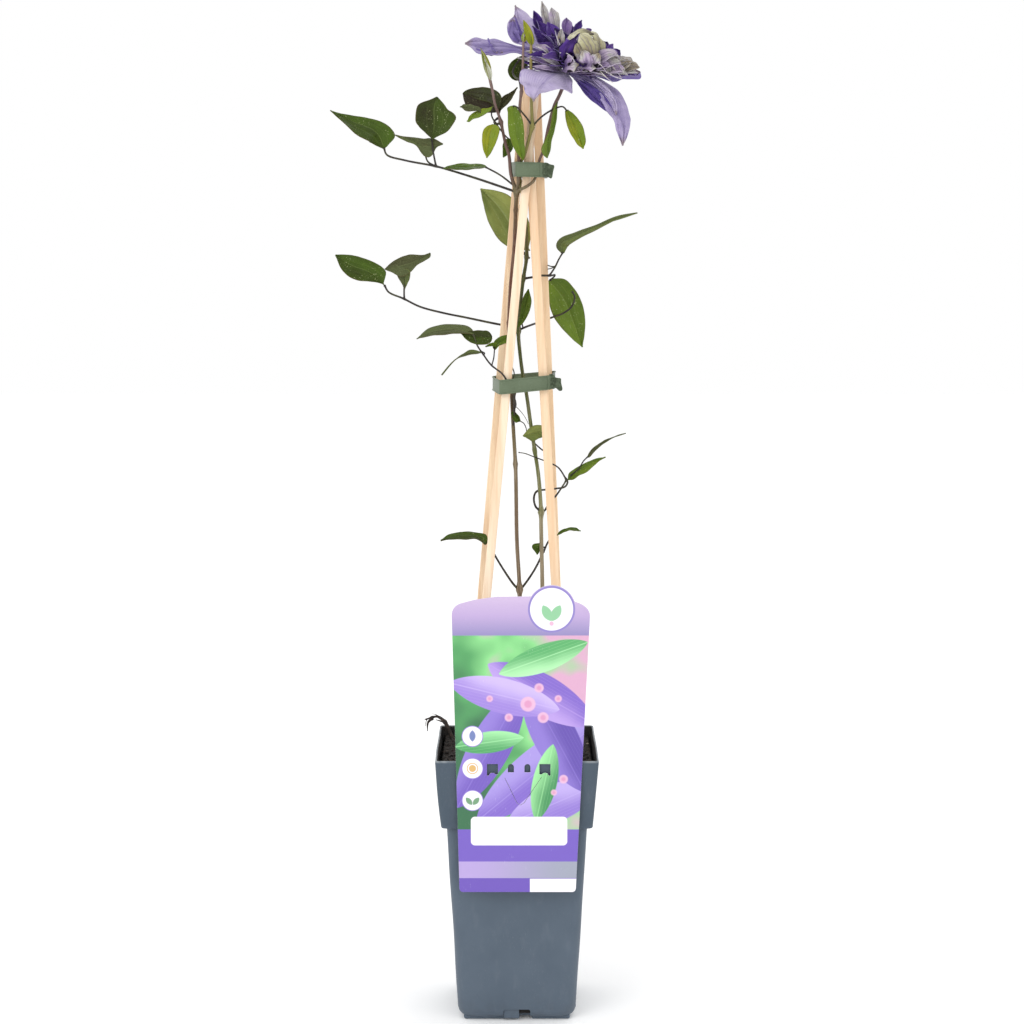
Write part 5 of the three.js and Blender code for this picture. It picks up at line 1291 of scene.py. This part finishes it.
def ringBlades(centre):
    dice = random.Random(ringLook["seed"])
    blades = []
    for polar, half, petals, tone in petalRings:
        for k, (turn, length) in enumerate(petals):
            for spare in range(2):  # each petal has a smaller one beside it
                stagger = ringLook["stagger"] if k % 2 else -ringLook["stagger"]
                lean = polar + stagger - spare * dice.uniform(*ringLook["lean"])
                swing = turn + spare * dice.uniform(*ringLook["swing"])
                reach = length * (1 - spare * dice.uniform(*ringLook["short"]))
                droop = dice.uniform(*ringLook["droop"])
                knots = [centre + flowerDirection(lean, swing) * ringLook["start"],
                         centre + flowerDirection(lean - droop, swing) * reach * 0.5,
                         centre + flowerDirection(lean, swing) * reach]
                wide = half * (1 - spare * dice.uniform(*ringLook["narrow"]))
                light = min(max(tone + dice.uniform(*ringLook["light"]), 0), 1)
                face = flowerDirection(lean - 90, swing)
                blades.append(plain(knots, wide, light, face, **petalLook["ringed"]))
    return blades


def placedBlades(rows, look):
    return [plain(spine, half, tone, face, widest=widest, **look) for spine, half, face, widest, tone in rows]


petalStops = [
    (0.0, "1a0b38"), (0.14, "351a62"), (0.28, "523488"), (0.42, "7b6298"), (0.52, "9d8aac"), (0.6, "b9a8be"),
    (0.66, "b4b1ac"), (0.74, "948770"), (0.82, "a19b79"), (0.9, "b7b38f"), (1.0, "d3cfb4"),
]
petalTop = petalShade("petalTop", petalStops, "43336e", "c9c2da", 3.0, 0.28, 0.7)
petalUnder = petalShade("petalUnder", [(0.0, "3c2f6c"), (0.3, "6f6294"), (0.5, "978fa8"), (0.7, "9c9a8a"),
                                       (0.85, "aead84"), (1.0, "c6c3a6")], "56496c", "c4bfd0", 4.0, 0.4, 0.75)
petals = ringBlades(heart + axis * ringLook["sink"]) + placedBlades(placedPetals, petalLook["placed"])
makeBlades("petals", petals, petalLook, (petalTop, petalUnder), "petal", "flower_petals", 400)
tell("petals done")

tuftLook = {
    "across": 10, "along": 18, "edge": 0.25, "wall": 0.4, "ragged": 0.12, "crumple": 1.3,
    "ribs": [(0, 0.2, -0.3)], "placed": {"fold": 16, "cup": -0.4, "wave": 0.3, "waves": 2.2, "point": 0.6},
}
tuftTop = petalShade("tuftTop", petalStops, "5a4a72", "4f463d", 2.0, 0.95, 0.6, 0.3)
tuft = placedBlades(placedTuft, tuftLook["placed"])
makeBlades("tuft", tuft, tuftLook, (tuftTop, petalUnder), "tuft", "flower_tuft", 500)

# Threads: some placed one by one, and more about the axis

threadLook = {
    "placedRadii": (0.4, 0.34, 0.18), "radii": (0.28, 0.3, 0.42), "spacing": 2.5, "seed": 12, "count": 14,
    "rise": 13, "shift": (-3, 0, 0), "twist": 20, "knots": [(0.7, 0.2), (0.9, 0.6), (1.1, 1.0)],
    "spans": [(12, 60), (0, 360), (14, 22)],  # angle from the axis, turn, reach
    "placed": [
        [(58.9, -41, 701.1), (63.8, -44, 696.0), (68.1, -45, 692.4)],
        [(63.2, -42, 701.7), (68.1, -44, 697.4), (74.5, -44, 695.3)],
        [(67.5, -41, 704.6), (71.0, -42, 700.3), (73.9, -42, 696.8)],
        [(70.4, -38, 707.6), (73.9, -40, 703.2), (76.0, -41, 699.7)],
        [(16.4, -26, 712.6), (11.4, -26, 716.1), (6.4, -25, 716.2)],
        [(17.8, -27, 711.1), (12.1, -27, 712.5), (7.1, -26, 711.2)],
        [(20.7, -26, 715.4), (16.4, -26, 718.2), (12.8, -25, 719.7)],
        [(30.6, -30, 720.0), (28.5, -30, 725.0), (27.1, -29, 730.0)],
        [(41.0, -44, 707.2), (38.2, -44, 711.4), (34.6, -44, 713.5)],
        [(54.5, -46, 708.4), (60.1, -47, 704.2), (63.7, -46, 699.4)],
    ],
}


def threadShade():
    s = Shade("threads", {})
    patches = s.cloud(4, detail=2)
    colour = s.ramp(patches, [(0.3, "8c7fae"), (0.55, "c9c3bf"), (0.75, "e9e6d4")])
    return s.finish(colour, patches * 0.2 + 0.45, s.cloud(0.6), 0.1)


def threadStrands():
    dice = random.Random(threadLook["seed"])
    strands = [(points, threadLook["placedRadii"]) for points in threadLook["placed"]]
    centre = heart + axis * threadLook["rise"] + Vector(threadLook["shift"])
    for _ in range(threadLook["count"]):
        polar, turn, reach = [dice.uniform(*span) for span in threadLook["spans"]]
        points = [centre + flowerDirection(polar * share, turn + threadLook["twist"] * share) * reach * size
                  for share, size in threadLook["knots"]]
        strands.append((points, threadLook["radii"]))
    return strands


stamens = stalkMesh("stamens", threadStrands(), threadLook["spacing"])
show("stamens", stamens, [threadShade()], "tuft")
tell("flower done")

# Straps: green-grey plastic bands with raised edges, a joint with two holes and a wavy tail

strapLook = {
    "height": 10.7, "wall": 0.9, "corner": 1.6, "cornerSteps": 5, "sharpAngle": 40,
    "edge": [(0.1, 0), (0.45, 0.3), (0.45, 0.9), (0, 1.3)],  # how far out, how far in from the edge
    "joint": (0.9, -0.4), "lug": (5, 2.4, 0.6), "lugShift": (0.6, -0.1), "bevel": 0.5, "tailSteps": 28,
    "tailShift": (0, -0.4), "holes": (-2.2, 2.2), "drill": (1.5, 9, 1.5), "drillShift": 1.2,
    "straps": {  # height, slope, the corners of its loop, and the tail's outline as x and height
        "clip_lower": (476.8, 0.085, [(-12, -27.8), (23.6, -21), (28, 19.8), (-17.5, 19.7)],
                       [(-1, 6), (1.8, 5.8), (2.8, 3.8), (5.2, 2.8), (7.6, 2.2), (7.8, -0.8), (8.7, -6.4),
                        (6.6, -6.9), (3.7, -4.4), (-1, -4.5)]),
        "clip_upper": (632, -0.03, [(-0.2, -23.6), (17.6, -23.6), (21.4, 12.4), (-4.3, 12.2)],
                       [(-1, 5.2), (3, 5.3), (5.4, 4.2), (8.3, 3.4), (7.6, -0.8), (6.3, -5.9), (3.4, -4.9),
                        (-1, -4.8)]),
    },
}


def strapShade(name, jointX):
    s = Shade(name, {"Specular IOR Level": 0.25})
    mottle = s.cloud(9, detail=4)
    # Painted shade: past the joint, over the lug and tail, the plastic is painted darker in patches.
    side = s.inMm(0).fade(jointX - 1.5, jointX + 0.5)
    colour = s.over(s.mix(mottle, "536049", "6b7861"),
                    (s.cloud(1.2, (1, 1, 4), 2).fade(0.58, 0.72) * 0.3, "8f9c88"),
                    (s.cloud(4).fade(0.6, 0.75) * 0.25, "47523f"),
                    (side * (s.cloud(2.5).fade(0.35, 0.6) * 0.5 + 0.4), "37422f"))
    return s.finish(colour, mottle * 0.15 + 0.36, s.cloud(1.0, (1, 1, 3)), 0.06)


def roundedLoop(corners, out):  # points round a loop with its corners eased
    radius, steps = strapLook["corner"], strapLook["cornerSteps"]
    points = []
    for k, corner in enumerate(corners):
        here = Vector(corner)
        back = (Vector(corners[k - 1]) - here).normalized()
        on = (Vector(corners[(k + 1) % len(corners)]) - here).normalized()
        half = back.angle(on) / 2
        middle = here + (back + on).normalized() * radius / math.sin(half)
        start = math.atan2(*reversed(here + back * radius / math.tan(half) - middle))
        end = math.atan2(*reversed(here + on * radius / math.tan(half) - middle))
        sweep = (end - start + math.pi) % (2 * math.pi) - math.pi
        for step in range(steps + 1):
            angle = start + sweep * step / steps
            points.append(middle + Vector((math.cos(angle), math.sin(angle))) * (radius + out))
    return points


def addBand(bm, corners):
    half, wall = strapLook["height"] / 2, strapLook["wall"]
    rows = [(out, inward - half) for out, inward in strapLook["edge"]]
    rows += [(out, half - inward) for out, inward in reversed(strapLook["edge"])]
    count = len(roundedLoop(corners, 0))
    ring = bmesh.ops.create_circle(bm, cap_ends=False, segments=count, radius=1.0)["verts"]
    edges = bm.edges[:]
    for k, (out, height) in enumerate(rows):
        if k:
            ring, made = nextRing(bm, edges, ring)
            edges = openEdges(made)
        for vert, spot in zip(ring, roundedLoop(corners, wall + out)):
            vert.co = (spot.x, spot.y, height)
    bmesh.ops.recalc_face_normals(bm, faces=bm.faces)
    bmesh.ops.solidify(bm, geom=bm.faces[:], thickness=wall)


def addTail(bm, outline, joint):
    knots = [Vector((x, 0, height)) for x, height in outline]
    steps = strapLook["tailSteps"]
    flap = [bm.verts.new(smoothPoint(knots + knots[:1], k / steps)) for k in range(steps)]
    sheet = bm.faces.new(flap)
    shift = joint + Vector(strapLook["tailShift"])
    bmesh.ops.translate(bm, vec=(shift.x, shift.y, 0), verts=flap)
    lifted = bmesh.ops.extrude_face_region(bm, geom=[sheet])["geom"]
    bmesh.ops.translate(bm, vec=(0, strapLook["wall"], 0), verts=only(lifted, bmesh.types.BMVert))
    bmesh.ops.recalc_face_normals(bm, faces=bm.faces)


def makeStrap(name, z, slope, corners, tail):
    joint = Vector(corners[1]) + Vector(strapLook["joint"])
    wide, deep, short = strapLook["lug"]
    lug = joint + Vector(strapLook["lugShift"])
    bm = bmesh.new()
    addBand(bm, corners)
    addBox(bm, (wide, deep, strapLook["height"] - short), (lug.x, lug.y, 0), strapLook["bevel"])
    addTail(bm, tail, joint)
    for vert in bm.verts:
        vert.co.z += z + slope * (vert.co.x - joint.x / 2)
    mesh = meshOf(inMetres(bm), name + "_band")
    piece = show(name + "_band", mesh, [strapShade(name + "Plastic", joint.x)], "clip_plastic", name)
    piece.data.set_sharp_from_angle(angle=math.radians(strapLook["sharpAngle"]))
    for polygon in piece.data.polygons:
        polygon.use_smooth = True
    across = joint.x + strapLook["drillShift"]
    middles = [(across, joint.y, z + slope * joint.x / 2 + hole) for hole in strapLook["holes"]]
    carved(piece, [block("drill", strapLook["drill"], middle, 0, strapLook["bevel"]) for middle in middles])


for name, strap in strapLook["straps"].items():
    makeStrap(name, *strap)
tell("straps done")

# Label: a thin printed sheet, seen from the front as x and height, in mm

labelLook = {
    "wall": 0.7, "front": -61.25, "bevel": 0.12, "slit": 0.26, "merge": 0.001,
    "badge": (25, 316, 17.5), "badgeArc": (0.32, 2.26, 30),
    "bends": [((40.3, 105), (43, 105), (43.2, 108)), ((52.8, 311), (52.5, 318.5), (41.6, 321.5)),
              ((-41, 320.3), (-47.6, 318), (-47.3, 311)), ((-42.3, 108), (-42.1, 105), (-39.5, 105))],
    "topEdge": [(-15, 325.2), (-31, 323)],
    "cutouts": [(-18, 196.9, 8.3, 9), (-4.5, 198.2, 4.6, 6.4), (7.6, 198.2, 4.6, 6.4), (20.4, 196.9, 8.3, 9)],
    "notched": [(-1, 1), (1, 1), (1, -0.92), (0.84, -1), (0.66, -0.96), (0.42, -0.62), (0.1, -0.5),
                (-0.3, -0.56), (-0.52, -0.74), (-0.8, -0.78), (-1, -0.7)],
    "tongue": [(-9, 191), (0, 172), (2.5, 170.5), (5, 172), (18, 191.5)],
    "hook": {"reach": 3.7, "top": 204.1, "drop": 6, "play": 0.8, "sink": (0.1, 0.4), "bevel": 0.2},
    "slices": (112, 330, 8), "bow": {"foot": 215, "out": 0.5, "wide": 26, "tall": 100},
}
printLook = {
    "sky": [(0.0, "8f86b8"), (0.4, "b9a3cf"), (0.75, "c9b4d6"), (1.0, "b3a6d6")],
    "ground": [(0.25, "2e6a45"), (0.45, "4f9e5c"), (0.6, "86d486"), (0.75, "d7a6c4")],
    "fronds": [  # root, angle, length, width, dark and light tint
        ((-44, 168), 62, 104, 15, "6f55b8", "8f79d0"), ((-30, 158), 40, 118, 17, "7e62c4", "a593dc"),
        ((-8, 156), 24, 78, 14, "8e75cc", "b9a6e4"), ((50, 180), 118, 96, 16, "5f48a8", "8a74cc"),
        ((58, 230), 150, 92, 15, "7e62c4", "b79ae0"), ((-50, 262), -14, 84, 13, "9a80d4", "c8b4ea"),
        ((14, 158), 78, 60, 9, "3f8f55", "9fe59f"), ((-46, 214), 8, 52, 8, "4aa05e", "a8ecaa"),
        ((52, 292), 200, 70, 10, "57ab66", "b4f0b4"),
    ],
    "blossoms": [((8, 246), 5.5), ((19, 236), 4), ((16, 258), 3.4), ((-6, 236), 3), ((30, 250), 2.6),
                 ((-20, 250), 2.4), ((34, 190), 3.2), ((27, 180), 2.2)],
    "signs": [(-32.6, 222), (-32.6, 198), (-32.6, 174)],
}


def bend(start, pull, end, steps=8):
    shares = [k / steps for k in range(steps + 1)]
    return [tuple(a * (1 - t) ** 2 + 2 * b * t * (1 - t) + c * t * t for a, b, c in zip(start, pull, end))
            for t in shares]


def labelOutline():  # from the lower right corner, up over the badge and down on the left
    x, z, radius = labelLook["badge"]
    first, sweep, steps = labelLook["badgeArc"]
    turns = [first + sweep * k / steps for k in range(steps + 1)]
    arc = [(x + radius * math.cos(turn), z + radius * math.sin(turn)) for turn in turns]
    foot, shoulder, otherShoulder, otherFoot = [bend(*points) for points in labelLook["bends"]]
    return foot + shoulder + arc + labelLook["topEdge"] + otherShoulder + otherFoot


def cutoutOutline(x, z, width, height):  # the wide ones have a notch, the narrow ones a round top
    half, tall, side = width / 2, height / 2, math.copysign(1, x)
    if width > 6:
        return [(x + side * along * half, z + up * tall) for along, up in labelLook["notched"]]
    turns = [math.pi * k / 10 for k in range(11)]
    arch = [(x + half * math.cos(turn), z + tall - half + half * math.sin(turn)) for turn in turns]
    return arch + [(x - half, z - tall), (x + half, z - tall)]


def tongueSlit():
    spots = [Vector(spot) for spot in labelLook["tongue"]]
    there, back = [], []
    for k, spot in enumerate(spots):
        run = spots[min(k + 1, len(spots) - 1)] - spots[max(k - 1, 0)]
        aside = Vector((-run.y, run.x)).normalized() * labelLook["slit"]
        there.append(tuple(spot + aside))
        back.append(tuple(spot - aside))
    return there + back[::-1]


# The print's masks. "spot" holds x and height, in mm.

def disc(spot, middle, radius, soft=0.2):
    x, z = [part - place for part, place in zip(spot, middle)]
    return 1 - ((x * x + z * z) ** 0.5).fade(radius - soft, radius + soft)


def panel(spot, left, right, low, high, soft=0.3):
    x, z = spot
    return (x.fade(left - soft, left + soft) * (1 - x.fade(right - soft, right + soft))
            * z.fade(low - soft, low + soft) * (1 - z.fade(high - soft, high + soft)))


def card(spot, middle, size, corner, soft=0.3):  # a panel with rounded corners
    x, z = [((part - place).size() - (side / 2 - corner)).most(0.0)
            for part, place, side in zip(spot, middle, size)]
    return 1 - ((x * x + z * z) ** 0.5).fade(corner - soft, corner + soft)


def frond(spot, root, angle, length, width):  # a pointed leaf shape, and places along and across it
    c, s = math.cos(math.radians(angle)), math.sin(math.radians(angle))
    x, z = [part - place for part, place in zip(spot, root)]
    along = (x * c + z * s) / length
    across = z * c - x * s
    edge = (along * (1 - along) * 4).most(0.0) ** 0.7 * (width + 1) - 1
    return 1 - (across.size() - edge).fade(-0.4, 0.4), along, across


def printedArt(s, spot):
    x, z = spot
    wash = s.cloud(46, detail=2)
    art = s.ramp(wash + x * 0.004 + (z - 225) * 0.002, printLook["ground"])
    for root, angle, length, width, dark, light in printLook["fronds"]:
        shape, along, across = frond(spot, root, angle, length, width)
        fill = s.mix((across * 0.06 + along * 0.5 + (wash - 0.5)).fade(-0.2, 0.9), dark, light)
        lines = ((across * 0.45).part() - 0.5).size().fade(0.42, 0.5) * 0.35
        fill = s.mix(lines + (1 - across.size().fade(0.2, 0.7)) * 0.4, fill, light)
        art = s.mix(shape, art, fill)
    for middle, radius in printLook["blossoms"]:
        art = s.over(art, (disc(spot, middle, radius, 0.6) * 0.9, "e7b7d2"),
                     (disc(spot, middle, radius * 0.5, 0.8) * 0.7, "d588b4"))
    return art


def signLayers(spot):  # three round signs down the left side: a drop, a sun and two leaves
    drop, sun, leaf = printLook["signs"]
    layers = []
    for sign in printLook["signs"]:
        layers += [(disc(spot, sign, 7.9), "8f7bca"), (disc(spot, sign, 7.3), "f4f0fa")]
    layers += [(frond(spot, (drop[0], drop[1] - 4.4), 90, 9.4, 2.3)[0], "6f7fb4"),
               (disc(spot, sun, 2.6), "d9b06c"), (disc(spot, sun, 4.2) - disc(spot, sun, 3.5), "d9b06c")]
    root = (leaf[0], leaf[1] - 3.6)
    return layers + [(frond(spot, root, angle, 8, 1.9)[0], "6f9a74") for angle in (50, 130)]


def badgeLayers(spot):  # a ring, two leaves and a bud
    x, z, _ = labelLook["badge"]
    layers = [(disc(spot, (x, z), 17.1), "8d80c2"), (disc(spot, (x, z), 15.6), "f6f3fa")]
    layers += [(frond(spot, (x, z - 9), angle, 14, 3.4)[0], "8fc79a") for angle in (62, 118)]
    return layers + [(disc(spot, (x, z - 10.5), 1.6), "e3b4cf")]


def labelShade():
    s = Shade("labelPrint", {"Coat Weight": 0.25, "Coat Roughness": 0.2})
    spot = s.inMm(0), s.inMm(2)
    x, z = spot
    facing = s.add("ShaderNodeNewGeometry", {}, {}, "True Normal").axes()[1]
    scuff = s.cloud(2.2, (4, 1, 0.6), 3).fade(0.66, 0.74) * s.cloud(30).fade(0.5, 0.65)
    bands = [
        (1 - z.fade(152.0, 152.6), "7258bd"),
        (z.fade(296.2, 297.2), s.ramp((z - 297) / 36, printLook["sky"])),
        (panel(spot, -60, 60, 115.4, 128.0), s.mix(x.fade(-40, 44), "b49fd6", "9a9fb0")),
        (panel(spot, -60, 60, 90, 115.4), "6a4fb4"), (panel(spot, 9.5, 60, 90, 115.0), "f3f1f6"),
        (card(spot, (1.5, 151), (70.7, 21.5), 3), "faf6fa"), (panel(spot, -26, 29, 159.2, 159.7), "ecc3da"),
    ]
    wear = [(facing.fade(-0.6, -0.3), "e9e7ee"), (scuff * 0.35, "ffffff")]
    colour = s.over(printedArt(s, spot), *bands, *badgeLayers(spot), *signLayers(spot), *wear)
    return s.finish(colour, scuff * 0.2 + 0.3, s.cloud(14, detail=3) * 0.7 + s.cloud(1.2) * 0.3, 0.12, 0.4)


def flatSheet():  # the outline with its slit and cut-outs, as a mesh that lies flat
    flat = bpy.data.curves.new("label_sheet", "CURVE")
    flat.dimensions = "2D"
    flat.fill_mode = "BOTH"
    flat.extrude = labelLook["wall"] / 2 - labelLook["bevel"]
    flat.bevel_depth = labelLook["bevel"]
    flat.bevel_resolution = 1
    for spots in [labelOutline(), tongueSlit(), *[cutoutOutline(*cutout) for cutout in labelLook["cutouts"]]]:
        line = flat.splines.new("POLY")
        line.points.add(len(spots) - 1)
        line.use_cyclic_u = True
        for point, (x, z) in zip(line.points, spots):
            point.co = (x, z, 0, 1)
    holder = loose("label_sheet", flat)
    mesh = frozen(holder)
    bpy.data.objects.remove(holder)
    return mesh


def makeLabel():
    wall, hook, bow = labelLook["wall"], labelLook["hook"], labelLook["bow"]
    bm = bmesh.new()
    bm.from_mesh(flatSheet())
    bmesh.ops.remove_doubles(bm, verts=bm.verts, dist=labelLook["merge"])
    sliced(bm, range(*labelLook["slices"]), Vector((0, 1, 0)))
    bmesh.ops.rotate(bm, cent=(0, 0, 0), matrix=Matrix.Rotation(math.pi / 2, 3, "X"), verts=bm.verts)
    bmesh.ops.translate(bm, vec=(0, labelLook["front"] + wall / 2, 0), verts=bm.verts)
    back = labelLook["front"] + wall + hook["reach"]
    inward, down = hook["sink"]
    for x, _, width, _ in labelLook["cutouts"]:
        wide = width - hook["play"]
        middle = (x, back - hook["reach"] / 2 - inward, hook["top"] - down)
        addBox(bm, (wide, hook["reach"] + hook["play"], wall), middle, hook["bevel"])
        middle = (x, back, hook["top"] - hook["drop"] / 2)
        addBox(bm, (wide, wall, hook["drop"]), middle, hook["bevel"])
    for vert in bm.verts:
        high = max(vert.co.z - bow["foot"], 0) / bow["tall"]
        vert.co.y += bow["out"] * math.sin(vert.co.x / bow["wide"]) * high ** 2
    show("label_sheet", meshOf(inMetres(bm), "label_sheet"), [labelShade()], "label_sheet", "label")


makeLabel()
tell("label done")
